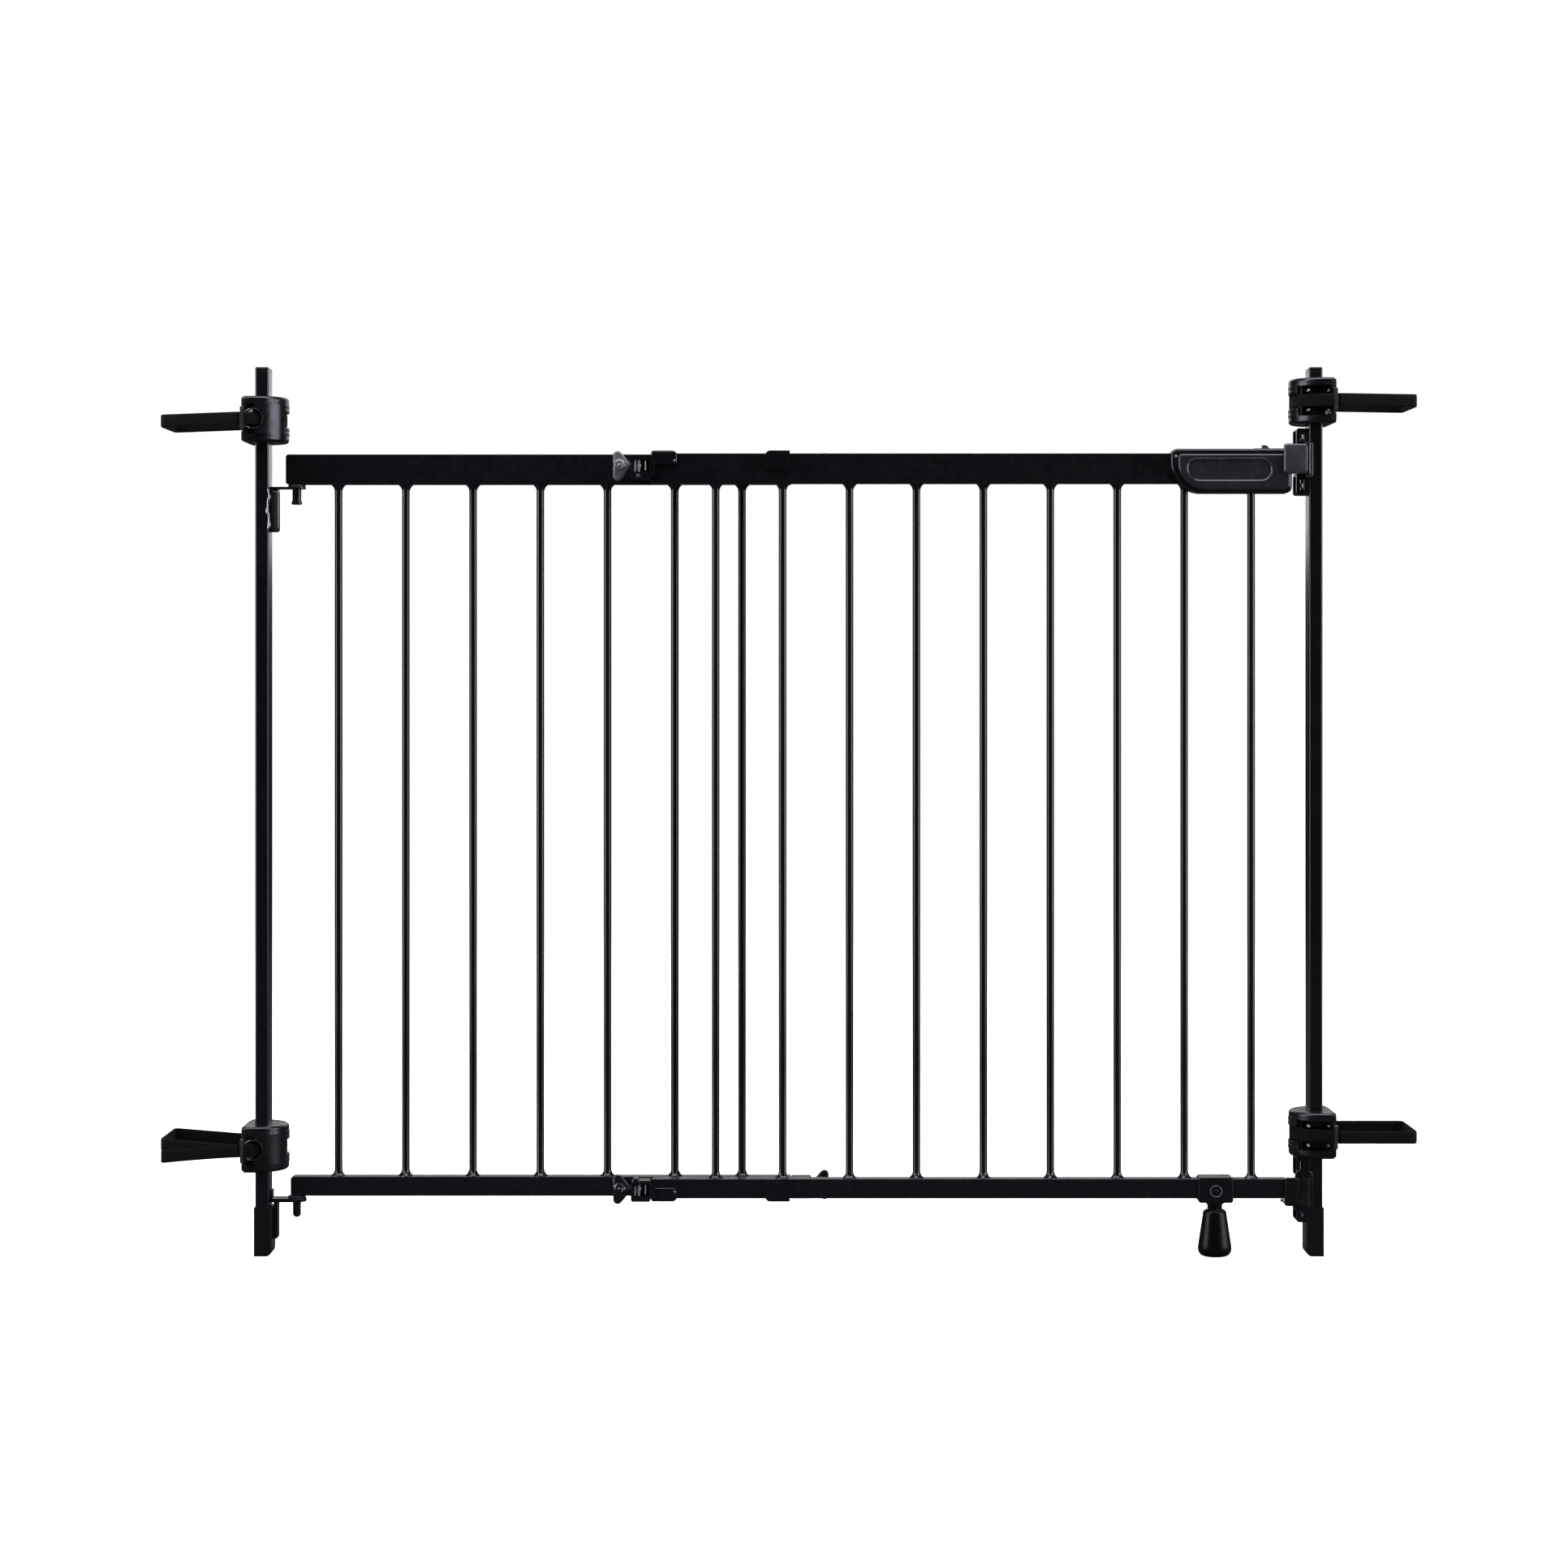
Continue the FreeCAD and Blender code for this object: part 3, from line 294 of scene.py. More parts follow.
def tube_of_rings(name, rings, closed_path=False):
    """Skin through rings of points; the ends are capped unless the rings form a loop."""
    size = len(rings[0])
    verts = [point for ring in rings for point in ring]
    faces = []
    spans = len(rings) if closed_path else len(rings) - 1
    for ring in range(spans):
        start, following = ring * size, (ring + 1) % len(rings) * size
        for index in range(size):
            beside = (index + 1) % size
            faces.append((start + index, start + beside, following + beside, following + index))
    if not closed_path:
        faces.append(tuple(reversed(range(size))))
        faces.append(tuple(range((len(rings) - 1) * size, len(rings) * size)))
    return mesh_object(name, verts, faces)


def turned(name, profile, centre, along="z", count=48, shape=None):
    """Piece turned about an axis from (distance along, radius) pairs; shape may vary the radius by angle."""
    rings = []
    for distance, radius in profile:
        ring = []
        for index in range(count):
            angle = 2 * pi * index / count
            r = radius * (shape(distance, angle) if shape else 1.0)
            a, b = r * cos(angle), r * sin(angle)
            offset = {"z": (a, b, distance), "x": (distance, a, b), "y": (a, distance, b)}[along]
            ring.append(tuple(c + o for c, o in zip(centre, offset)))
        rings.append(ring)
    return tube_of_rings(name, rings)


def carve(target, *cutters):
    """Cuts each cutter out of the target and removes the cutters."""
    for cutter in cutters:
        cut = target.modifiers.new("cut", "BOOLEAN")
        cut.operation = "DIFFERENCE"
        cut.solver = "EXACT"
        cut.object = cutter
    graph = bpy.context.evaluated_depsgraph_get()
    result = bpy.data.meshes.new_from_object(target.evaluated_get(graph))
    target.modifiers.clear()
    target.data = result
    for cutter in cutters:
        bpy.data.objects.remove(cutter, do_unlink=True)
    return target


def lofted(name, levels):
    """Skin through (y, outline) levels, each outline a list of (x, z)."""
    return tube_of_rings(name, [[(x, y, z) for x, z in outline] for y, outline in levels])


def outline_prism(name, outline, y0, y1):
    """Prism of an (x, z) outline between two depths."""
    return lofted(name, [(y0, outline), (y1, outline)])


def round_section(point, out, across, radius, count=8):
    """Ring of points about a point, in the plane of two unit vectors."""
    angles = [2 * pi * index / count for index in range(count)]
    return [tuple(p + radius * (cos(angle) * o + sin(angle) * a) for p, o, a in zip(point, out, across))
            for angle in angles]


def corner_cutter(name, x, z, toward_x, toward_z, radius, y0, y1):
    """Prism that rounds the corner at (x, z); toward_x and toward_z are 1 or -1, into the piece."""
    middle_x, middle_z = x + toward_x * radius, z + toward_z * radius
    beyond_x, beyond_z = x - toward_x * MM, z - toward_z * MM
    outline = [(beyond_x, middle_z), (beyond_x, beyond_z), (middle_x, beyond_z)]
    for index in range(9):
        turn = pi / 2 * index / 8
        outline.append((middle_x - toward_x * radius * sin(turn), middle_z - toward_z * radius * cos(turn)))
    return outline_prism(name, outline, y0, y1)


def corner_arc(x, z, radius, start, stop, steps):
    """Points of a rounded corner about centre (x, z), angles in degrees."""
    points = []
    for index in range(steps + 1):
        angle = radians(start + (stop - start) * index / steps)
        points.append((x + radius * cos(angle), z + radius * sin(angle)))
    return points


def rounded_outline(x0, x1, z0, z1, radii, steps=10):
    """Rectangle outline with its own radius at the lower left, lower right, upper right and upper left."""
    low_left, low_right, up_right, up_left = radii
    points = corner_arc(x0 + low_left, z0 + low_left, low_left, 180, 270, steps)
    points += corner_arc(x1 - low_right, z0 + low_right, low_right, 270, 360, steps)
    points += corner_arc(x1 - up_right, z1 - up_right, up_right, 0, 90, steps)
    points += corner_arc(x0 + up_left, z1 - up_left, up_left, 90, 180, steps)
    return points


def rounded_front(x_span, z_span, radii, steps=8, least=0.3):
    """Outline function of a rounded rectangle for pillow; radii and least are in millimetres."""
    def outline_of(inset):
        return rounded_outline(x_span[0] + inset, x_span[1] - inset, z_span[0] + inset, z_span[1] - inset,
                               [max(least * MM, radius * MM - inset) for radius in radii], steps)
    return outline_of


def pillow(name, outline_of, y_front, y_back, rounding, crown=0.0, steps=6):
    """Block seen from the front as outline_of(inset), its front edge rounded and its face slightly domed."""
    levels = [(y_back, outline_of(0.0))]
    for step in range(steps + 1):
        turn = pi / 2 * step / steps
        y = y_front + crown + rounding * (1 - sin(turn))
        levels.append((y, outline_of(abs(rounding) * (1 - cos(turn)))))
    if crown:
        for share in (0.25, 0.5, 0.75, 0.92):
            y = y_front + crown * (1 - share * (2 - share))
            levels.append((y, outline_of(rounding + share * crown * 7)))
    return lofted(name, levels)


def mirrored_half_turn(points, flip):
    """Points as they are, or turned by 180 degrees about the vertical axis through the origin."""
    return [(-x, -y, z) for x, y, z in points] if flip else points


def ring_bead(name, outline, y, radius, count=10):
    """Round bead that follows a closed (x, z) outline at depth y."""
    rings = []
    for index, (x, z) in enumerate(outline):
        before, after = outline[index - 1], outline[(index + 1) % len(outline)]
        along = Vector((after[0] - before[0], 0, after[1] - before[1])).normalized()
        rings.append(round_section((x, y, z), (along.z, 0, -along.x), (0, 1, 0), radius, count))
    return tube_of_rings(name, rings, closed_path=True)


def make_each(pattern, make):
    """Makes every node whose name the pattern finds, in the frame's order."""
    for node in frame["nodes"]:
        if re.search(pattern, node):
            make(node)


# ---------------------------------------------------------------- panels

def weld_flare(angle, wobble):
    """Slight unevenness of a weld bead round a bar."""
    return 1.0 + 0.05 * sin(3 * angle + wobble) + 0.03 * sin(7 * angle + 2 * wobble)


def make_bar(node):
    """Round bar with a weld flare at each rail."""
    low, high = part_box(node)
    x, y, middle = middle_of(node)
    z0, z1 = low[2], high[2]
    r = (high[0] - low[0]) / 2
    # Height above the rail and radius as a share of the bar's
    flare = [(0.0, 1.85), (0.0008, 1.78), (0.0018, 1.5), (0.0032, 1.24), (0.0048, 1.08), (0.0066, 1.0)]
    flare_end = 0.006
    profile = [(z0 + rise, r * grow) for rise, grow in flare]
    profile += [(z0 + (z1 - z0) * step / 6, r) for step in range(1, 6)]
    profile += [(z1 - rise, r * grow) for rise, grow in reversed(flare)]
    low_wobble, high_wobble = rng.uniform(0, 6), rng.uniform(0, 6)

    def shape(distance, angle):
        if min(distance - z0, z1 - distance) > flare_end:
            return 1.0
        return weld_flare(angle, low_wobble if distance < middle else high_wobble)

    bar = turned(node + "_welded", profile, (x, y, 0), count=32, shape=shape)
    return settle(bar, BODY_OF[node], SLOT_OF[node], (node,), smooth_deg=70)


def make_rail(node, end_radius):
    """Rectangular tube with rounded long edges and a closed, rounded left end."""
    low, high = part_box(node)
    outline = rounded_outline(low[0], high[0], low[2], high[2], (end_radius, 0.0005, 0.0005, end_radius), 8)
    rail = outline_prism(node + "_tube", outline, low[1], high[1])
    return settle(rail, BODY_OF[node], SLOT_OF[node], (node,), bevel=0.0019, segments=4)


def make_panels():
    make_each("_bar_", make_bar)
    for node, radius in (("rear_top_rail", 0.003), ("front_top_rail", 0.002),
                         ("rear_bottom_rail", 0.003), ("front_bottom_rail", 0.002)):
        make_rail(node, radius)


# ---------------------------------------------------------------- plain refined nodes

def make_refined():
    for node in ("upper_hinge_bracket", "lower_hinge_bracket", "left_upright", "right_upright",
                 "left_end_caps", "right_end_caps", "lower_latch_tongue", "handle_rear_shell"):
        refined(node, bevel=0.0007, segments=3)
    # The button takes the lighter grey, a painted highlight on its plate.
    refined("latch_button", bevel=0.0007, segments=3, finish="grey_plastic_painted_light")
    for node in ("left_strap_guides", "right_strap_guides", "left_adapter_pads", "right_adapter_pads",
                 "latch_bolt", "hinge_washers"):
        refined(node, bevel=0.0004, segments=2)


# ---------------------------------------------------------------- adapters

# The adapters' nose and strap window: distance of their axes from the newel's face, and radii
NOSE_X, NOSE_R = 10.5 * MM, 34.0 * MM
WINDOW_X, WINDOW_R, COVER_R = 12 * MM, 10.1 * MM, 34.6 * MM


def newel_face(flip):
    """X of the newel's near face, before a right-hand piece is turned round to its side."""
    return -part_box("right_adapter_pads")[1][0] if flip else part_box("left_adapter_pads")[0][0]


def nose_rib(flip, z):
    """Rings of a raised rib along part of the adapter's nose."""
    half_height, proud, root = 1.8 * MM, 0.5 * MM, -0.4 * MM
    section = [(root, -half_height), (0.55 * proud, -half_height), (proud, -0.55 * half_height)]
    section += [(out, -up) for out, up in reversed(section)]
    centre_x = newel_face(flip) + NOSE_X
    rings, steps, start, stop = [], 18, -22, 31
    for index in range(steps + 1):
        angle = radians(start + (stop - start) * index / steps)
        ring = [(centre_x + (NOSE_R + out) * cos(angle), (NOSE_R + out) * sin(angle), z + up)
                for out, up in section]
        rings.append(mirrored_half_turn(ring, flip))
    return rings


def window_section(flip, z, angle, thick, proud=0.0):
    """Round section of a bead at one angle of the strap window's edge, on the adapter's curved cover."""
    out = (cos(angle), 0, sin(angle))
    along = WINDOW_X - NOSE_X + WINDOW_R * cos(angle)
    depth = (COVER_R ** 2 - along ** 2) ** 0.5 + proud
    point = (newel_face(flip) + NOSE_X + along, -depth, z + WINDOW_R * sin(angle))
    return mirrored_half_turn(round_section(point, out, (0, 1, 0), thick), flip)


def make_guide_pins(node, z):
    """Four small pins in the cover, at the corners of the strap window, bright from the zinc finish's painted
    glint.
    """
    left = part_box(node)[0][0]
    profile = [(-0.0318, 0.0001), (-0.0317, 0.0007), (-0.0314, 0.0011), (-0.0308, 0.0013), (-0.0215, 0.0013)]
    for index, (along, up) in enumerate(((16.0, 10.0), (37.0, 10.0), (16.0, -10.0), (37.0, -10.0))):
        pin = turned(node + "_guide_pin_" + str(index + 1), profile, (left + along * MM, 0, z + up * MM),
                     along="y", count=20)
        settle(pin, BODY_OF[node], "bare_steel", smooth_deg=60, finish="bright_zinc")


def make_rim_painted_glints(node, z):
    """Two bright arcs on the window's rim, painted glints in the zinc finish, thinner at their ends; angles
    in degrees.
    """
    steps = 12
    for index, (start, stop) in enumerate(((104, 146), (214, 256))):
        rings = []
        for step in range(steps + 1):
            angle = radians(start + (stop - start) * step / steps)
            thick = 0.7 * MM * sin(pi * (0.08 + 0.84 * step / steps)) ** 0.5
            rings.append(window_section(False, z, angle, thick, 0.2 * MM))
        glint_arc = tube_of_rings(node + "_rim_painted_glint_" + str(index + 1), rings)
        settle(glint_arc, BODY_OF[node], "bare_steel", smooth_deg=80, finish="bright_zinc")


def make_adapter(node):
    """Newel adapter with ribbed bands round its nose and a rimmed strap window."""
    refined(node, bevel=0.0009, segments=3)
    flip, z = node.startswith("right"), middle_of(node)[2]
    for index, up in enumerate((-14.2, -9.6, 9.6, 14.2)):
        rib = tube_of_rings(node + "_rib_" + str(index + 1), nose_rib(flip, z + up * MM))
        settle(rib, BODY_OF[node], "satin_plastic", bevel=0.0002, smooth_deg=30)
    steps, bead = 64, 0.5 * MM
    rings = [window_section(flip, z, 2 * pi * index / steps, bead) for index in range(steps)]
    rim = tube_of_rings(node + "_window_rim", rings, closed_path=True)
    settle(rim, BODY_OF[node], "satin_plastic", smooth_deg=80)
    if flip:
        make_guide_pins(node, z)
    else:
        make_rim_painted_glints(node, z)


# ---------------------------------------------------------------- receivers

def make_receiver(level, block_z, wall_end, cushion, flange, finish=None):
    """Receiver with a cushioned block on its front wall and a lapped flange beside it."""
    node, body, slot = level + "_latch_receiver", "right_post", "satin_plastic"
    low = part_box(node)[0]
    corner, proud, depth, rounding, crown = cushion
    front_wall = block("cut_wall", (low[0] - MM, low[1] - MM, block_z[0] - MM),
                       (wall_end, low[1] + (depth - 0.1) * MM, block_z[1] + MM))
    corners = [corner_cutter("cut_corner", low[0], z, 1, toward, (corner - 0.2) * MM, low[1] - MM, 0.008)
               for z, toward in zip(block_z, (1, -1))]
    refined(node, bevel=0.0006, segments=3, cutters=(front_wall, *corners))
    made = pillow(level + "_receiver_cushion", rounded_front((low[0], wall_end), block_z, [corner] * 4),
                  low[1] - proud * MM, low[1] + depth * MM, rounding * MM, crown * MM)
    settle(made, body, slot, smooth_deg=60, finish=finish)
    x_span, z_span, radii, flange_front, rounding = flange
    made = pillow(level + "_receiver_flange", rounded_front(x_span, z_span, radii),
                  flange_front, -0.0142, rounding * MM)
    settle(made, body, slot, smooth_deg=50, finish=finish)


def make_receivers():
    """Both receivers, and the keeper pins in their slots."""
    # Cushion: corner radius, how far it stands out and reaches in, rounding, crown. Flange: x and z span,
    # corner radii, front face, rounding. Radii, roundings and the cushion's measures are in millimetres.
    # The upper receiver's cushion and flange take the lighter grey, painted light on their lit faces; the
    # lower receiver keeps the dark plastic.
    make_receiver("upper", (0.8035, 0.8345), 0.5318, (3.6, 0.9, 3.6, 2.9, 0.9),
                  ((0.5300, 0.5382), (0.8005, 0.8370), [0.6, 3.4, 3.4, 0.6], -0.0172, 0.9), "grey_plastic_painted_light")
    make_receiver("lower", (0.0527, 0.0822), 0.5236, (2.8, 0.6, 3.5, 1.9, 0.5),
                  ((0.5195, 0.5378), (0.0470, 0.0905), [1.5, 3.0, 7.5, 7.5], -0.0176, 1.2))
    # Keeper pins in the zinc finish, whose pale colour paints the bright glints in the slots.
    x, y = 0.5274, -0.0108
    for name, z0, z1 in (("upper_keeper_pin", 0.8396, 0.8452), ("mid_keeper_pin", 0.7896, 0.7946),
                         ("lower_keeper_pin", 0.0405, 0.0455)):
        profile = [(z0, 0.9 * MM), (z0 + 0.5 * MM, 1.7 * MM), (z1 - 0.5 * MM, 1.7 * MM), (z1, 0.9 * MM)]
        pin = turned(name, profile, (x, y, 0), count=24)
        settle(pin, "right_post", "satin_plastic", smooth_deg=50, finish="bright_zinc")


# ---------------------------------------------------------------- panel clamps

def square_nut(name, x_start, inward, y, z):
    """Square steel nut with a groove round its middle, seen in the housing's window."""
    rings = []
    # Distance along and inset of the section, in millimetres
    for distance, inset in ((0.0, 0.5), (0.3, 0.0), (2.2, 0.0), (2.3, 2.9),
                            (4.0, 2.9), (4.1, 0.0), (6.1, 0.0), (6.4, 0.5)):
        half_y, half_z = (5.0 - inset) * MM, (6.4 - inset) * MM
        outline = rounded_outline(y - half_y, y + half_y, z - half_z, z + half_z, [0.7 * MM] * 4, 4)
        rings.append([(x_start + inward * distance * MM, a, b) for a, b in outline])
    return tube_of_rings(name, rings)


# The rail edge that each level's hook lug laps over, and the lug's corner radii in millimetres
LUG_EDGE = {"upper": 0.825, "lower": 0.060}
LUG_CORNERS = {"upper": [2.2, 3.2, 5.2, 2.6], "lower": [2.6, 5.2, 5.0, 4.0]}


def make_clamp(side, level):
    """Panel clamp: refined body, nut, clip plate, rounded hook lug with its rivet, and a housing bolt."""
    node, knob = side + "_clamp_" + level, side + "_knob_" + level
    body_low, body_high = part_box(node)
    body, front = BODY_OF[node], side == "front"
    inward = 1 if front else -1
    face = -inward  # the front panel's clamps face the user, the rear panel's face away
    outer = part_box(knob)[0 if front else 1][0]
    y, z = middle_of(knob)[1:]
    # The nut, clip plate and rivet take the zinc finish, whose pale colour paints their glints; the clip
    # plate stands where a glint shows at the window's right end.
    nut = square_nut(node + "_nut", outer + inward * 22.8 * MM, inward, y, z)
    settle(nut, body, "bare_steel", smooth_deg=35, finish="bright_zinc")
    clip_x, clip_y = outer + inward * 34.6 * MM, sorted((y, y + face * 6 * MM))
    clip = block(node + "_clip", (clip_x - 0.5 * MM, clip_y[0], z - 5 * MM),
                 (clip_x + 0.5 * MM, clip_y[1] - 0.3 * MM, z + 5 * MM))
    settle(clip, body, "bare_steel", bevel=0.0004, segments=3, finish="bright_zinc")
    into, edge = -1 if level == "upper" else 1, LUG_EDGE[level]
    lug_start, lug_end = outer + inward * 40.2 * MM, outer + inward * 67.0 * MM
    near, far = edge - into * 2.8 * MM, edge + into * 11.5 * MM
    cutters = [corner_cutter("cut_bridge", x, near, toward, into, radius, body_low[1] - MM, body_high[1] + MM)
               for x, toward, radius in ((lug_start, inward, 2.6 * MM), (lug_end, -inward, 5.2 * MM))]
    refined(node, bevel=0.0006, segments=3, drop_under=0.02, cutters=cutters)
    corners = LUG_CORNERS[level]
    if not front:
        corners = [corners[1], corners[0], corners[3], corners[2]]
    lug_front, lug_back = face * 19.1 * MM, face * 16.7 * MM
    outline_of = rounded_front(sorted((lug_start, lug_end)), sorted((near, far)), corners)
    lug = pillow(node + "_lug", outline_of, lug_front, lug_back, -face * 2.0 * MM)
    settle(lug, body, "coated_steel", smooth_deg=60)
    dome = [(0.6, 0.02), (0.6, 0.5), (0.45, 1.0), (0.1, 1.5), (-0.5, 1.6)]
    rivet = turned(node + "_rivet", [(face * out * MM, r * MM) for out, r in dome],
                   (lug_end - inward * 2.4 * MM, lug_front, edge + into * 7.5 * MM), along="y", count=24)
    settle(rivet, body, "bare_steel", smooth_deg=60, finish="bright_zinc")
    if front and level == "upper":
        # The bolt takes the lighter grey in place of bare steel: painted light for its dull glint.
        screw_head(node + "_bolt", (outer + 27.2 * MM, body_low[1], 0.8014), 0.0021, body,
                   finish="grey_plastic_painted_light")
    elif front:
        dome = [(-1.0, 0.02), (-1.0, 1.6), (-0.7, 3.0), (-0.1, 4.0), (0.8, 4.5), (6.0, 4.6)]
        boss = turned(node + "_boss", [(out * MM, r * MM) for out, r in dome],
                      (outer + 24.6 * MM, body_low[1], 0.0776), along="y", count=40)
        settle(boss, body, "coated_steel", smooth_deg=50)


def make_clamps():
    for side in ("front", "rear"):
        for level in ("upper", "lower"):
            make_clamp(side, level)


# ---------------------------------------------------------------- straps

def belt_path(circles, step):
    """Points with their outward normals' angles along a taut belt round circles (x, y, r)."""
    runs = []
    for (ax, ay, ar), (bx, by, br) in zip(circles, circles[1:] + circles[:1]):
        apart = hypot(bx - ax, by - ay)
        normal = atan2(by - ay, bx - ax) - acos((ar - br) / apart)
        runs.append(((ax + ar * cos(normal), ay + ar * sin(normal)),
                     (bx + br * cos(normal), by + br * sin(normal)), normal))
    samples = []
    for index, (start, end, normal) in enumerate(runs):
        run = (end[0] - start[0], end[1] - start[1])
        parts = max(1, round(hypot(*run) / step))
        for part in range(parts):
            share = part / parts
            samples.append((start[0] + share * run[0], start[1] + share * run[1], normal))
        x, y, r = circles[(index + 1) % len(circles)]
        turn = (runs[(index + 1) % len(runs)][2] - normal) % (2 * pi)
        parts = max(2, round(turn * r / step))
        for part in range(parts):
            angle = normal + turn * part / parts
            samples.append((x + r * cos(angle), y + r * sin(angle), angle))
    return samples


# Spacing of the strap's rings, and of its woven ribs
STRAP_STEP, RIB_PITCH = 0.55 * MM, 2.2 * MM


# How far each loop has slipped up or down at the newel's far side, in millimetres
STRAP_SLIP = {"left_upper_strap": -3.0, "left_lower_strap": 6.5, "right_upper_strap": -1.3,
              "right_lower_strap": 0.0}


def make_strap(node):
    """Ribbed webbing loop round the newel and the adapter's nose."""
    low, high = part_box(node)
    flip = "right" in node
    z_mid, half = middle_of(node)[2], (high[2] - low[2]) / 2
    thick, rib_depth = 1.8 * MM, 0.16 * MM
    far = (-high[0] if flip else low[0]) + thick
    face = newel_face(flip)
    corner, nose = 4 * MM, 30.4 * MM
    side = high[1] - thick - corner
    near_x, far_x = face - corner, far + corner
    circles = [(face + NOSE_X, 0, nose), (near_x, side, corner), (far_x, side, corner),
               (far_x, -side, corner), (near_x, -side, corner)]
    slip = STRAP_SLIP[node] * MM
    rings, lengths, travelled = [], [], 0.0
    # Place across the strap and share of the thickness there
    edge = [(0.0, 0.08), (0.03, 0.5), (0.09, 0.86), (0.2, 1.0), (0.4, 1.0), (0.6, 1.0), (0.8, 1.0),
            (0.91, 0.86), (0.97, 0.5), (1.0, 0.08)]
    section = [(1, *place) for place in edge] + [(-1, *place) for place in reversed(edge)]
    samples = belt_path(circles, STRAP_STEP)
    for index, (x, y, angle) in enumerate(samples):
        if index:
            before = samples[index - 1]
            travelled += hypot(x - before[0], y - before[1])
        lengths.append(travelled)
        rib = 0.5 + 0.5 * cos(2 * pi * travelled / RIB_PITCH)
        z = z_mid + slip * min(1.0, max(0.0, (face - x) / (face - far)))
        ring = []
        for side_sign, across, full in section:
            lift = thick / 2 + side_sign * (thick / 2 - rib_depth * (1 - rib)) * full
            ring.append((x + lift * cos(angle), y + lift * sin(angle), z + half * (2 * across - 1)))
        rings.append(mirrored_half_turn(ring, flip))
    strap = tube_of_rings(node + "_webbing", rings, closed_path=True)
    add_strap_uv(strap, len(rings), len(rings[0]), lengths, half * 2)
    return settle(strap, BODY_OF[node], "webbing", (node,), smooth_deg=60)


def make_strap_tail():
    """Loose end of the lower left strap: a second layer that fans downwards across the newel's front."""
    node = "left_lower_strap"
    low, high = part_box(node)
    z_mid, half = middle_of(node)[2], (high[2] - low[2]) / 2 - 0.3 * MM
    thick, y_front = 1.1 * MM, low[1] - 1.1 * MM
    drop, bend, turned_steps = 5.5 * MM, 4.6 * MM, 9
    start, corner = newel_face(False) - 1.5 * MM, low[0] + 5.0 * MM
    flat = round((start - corner) / STRAP_STEP)
    rings, lengths = [], []
    for index in range(flat + turned_steps + 1):
        along = index * STRAP_STEP
        turn = max(0, index - flat) * STRAP_STEP / (5.0 * MM)
        x = start - min(index, flat) * STRAP_STEP - bend * sin(turn)
        y = y_front + bend * (1 - cos(turn))
        z = z_mid - drop * min(1.0, index / flat) ** 1.3
        rib = 0.14 * MM * (0.5 + 0.5 * cos(2 * pi * along / RIB_PITCH))
        ring = [(x, y - (rib if abs(across) < 1 else -0.2 * MM), z + half * across)
                for across in (-1.0, -0.8, -0.4, 0.0, 0.4, 0.8, 1.0)]
        ring += [(x + thick * sin(turn), y + thick * cos(turn), z + half * across)
                 for across in (1.0, 0.4, -0.4, -1.0)]
        rings.append(ring)
        lengths.append(along)
    tail = tube_of_rings(node + "_tail", rings)
    add_strap_uv(tail, len(rings), len(rings[0]), lengths, half * 2)
    settle(tail, "left_post", "webbing", smooth_deg=60)


def add_strap_uv(strap, ring_count, ring_size, lengths, width):
    """Texture coordinates in metres: along the strap, then round its section."""
    layer = strap.data.uv_layers.new(name="UVMap")
    for polygon in strap.data.polygons:
        wraps = {index // ring_size for index in polygon.vertices} >= {0, ring_count - 1}
        for loop in polygon.loop_indices:
            vertex = strap.data.loops[loop].vertex_index
            ring, place = vertex // ring_size, vertex % ring_size
            along = lengths[ring]
            if wraps and ring == 0:
                along = lengths[-1] + STRAP_STEP
            layer.data[loop].uv = (along, width * place / ring_size)


# ---------------------------------------------------------------- knobs

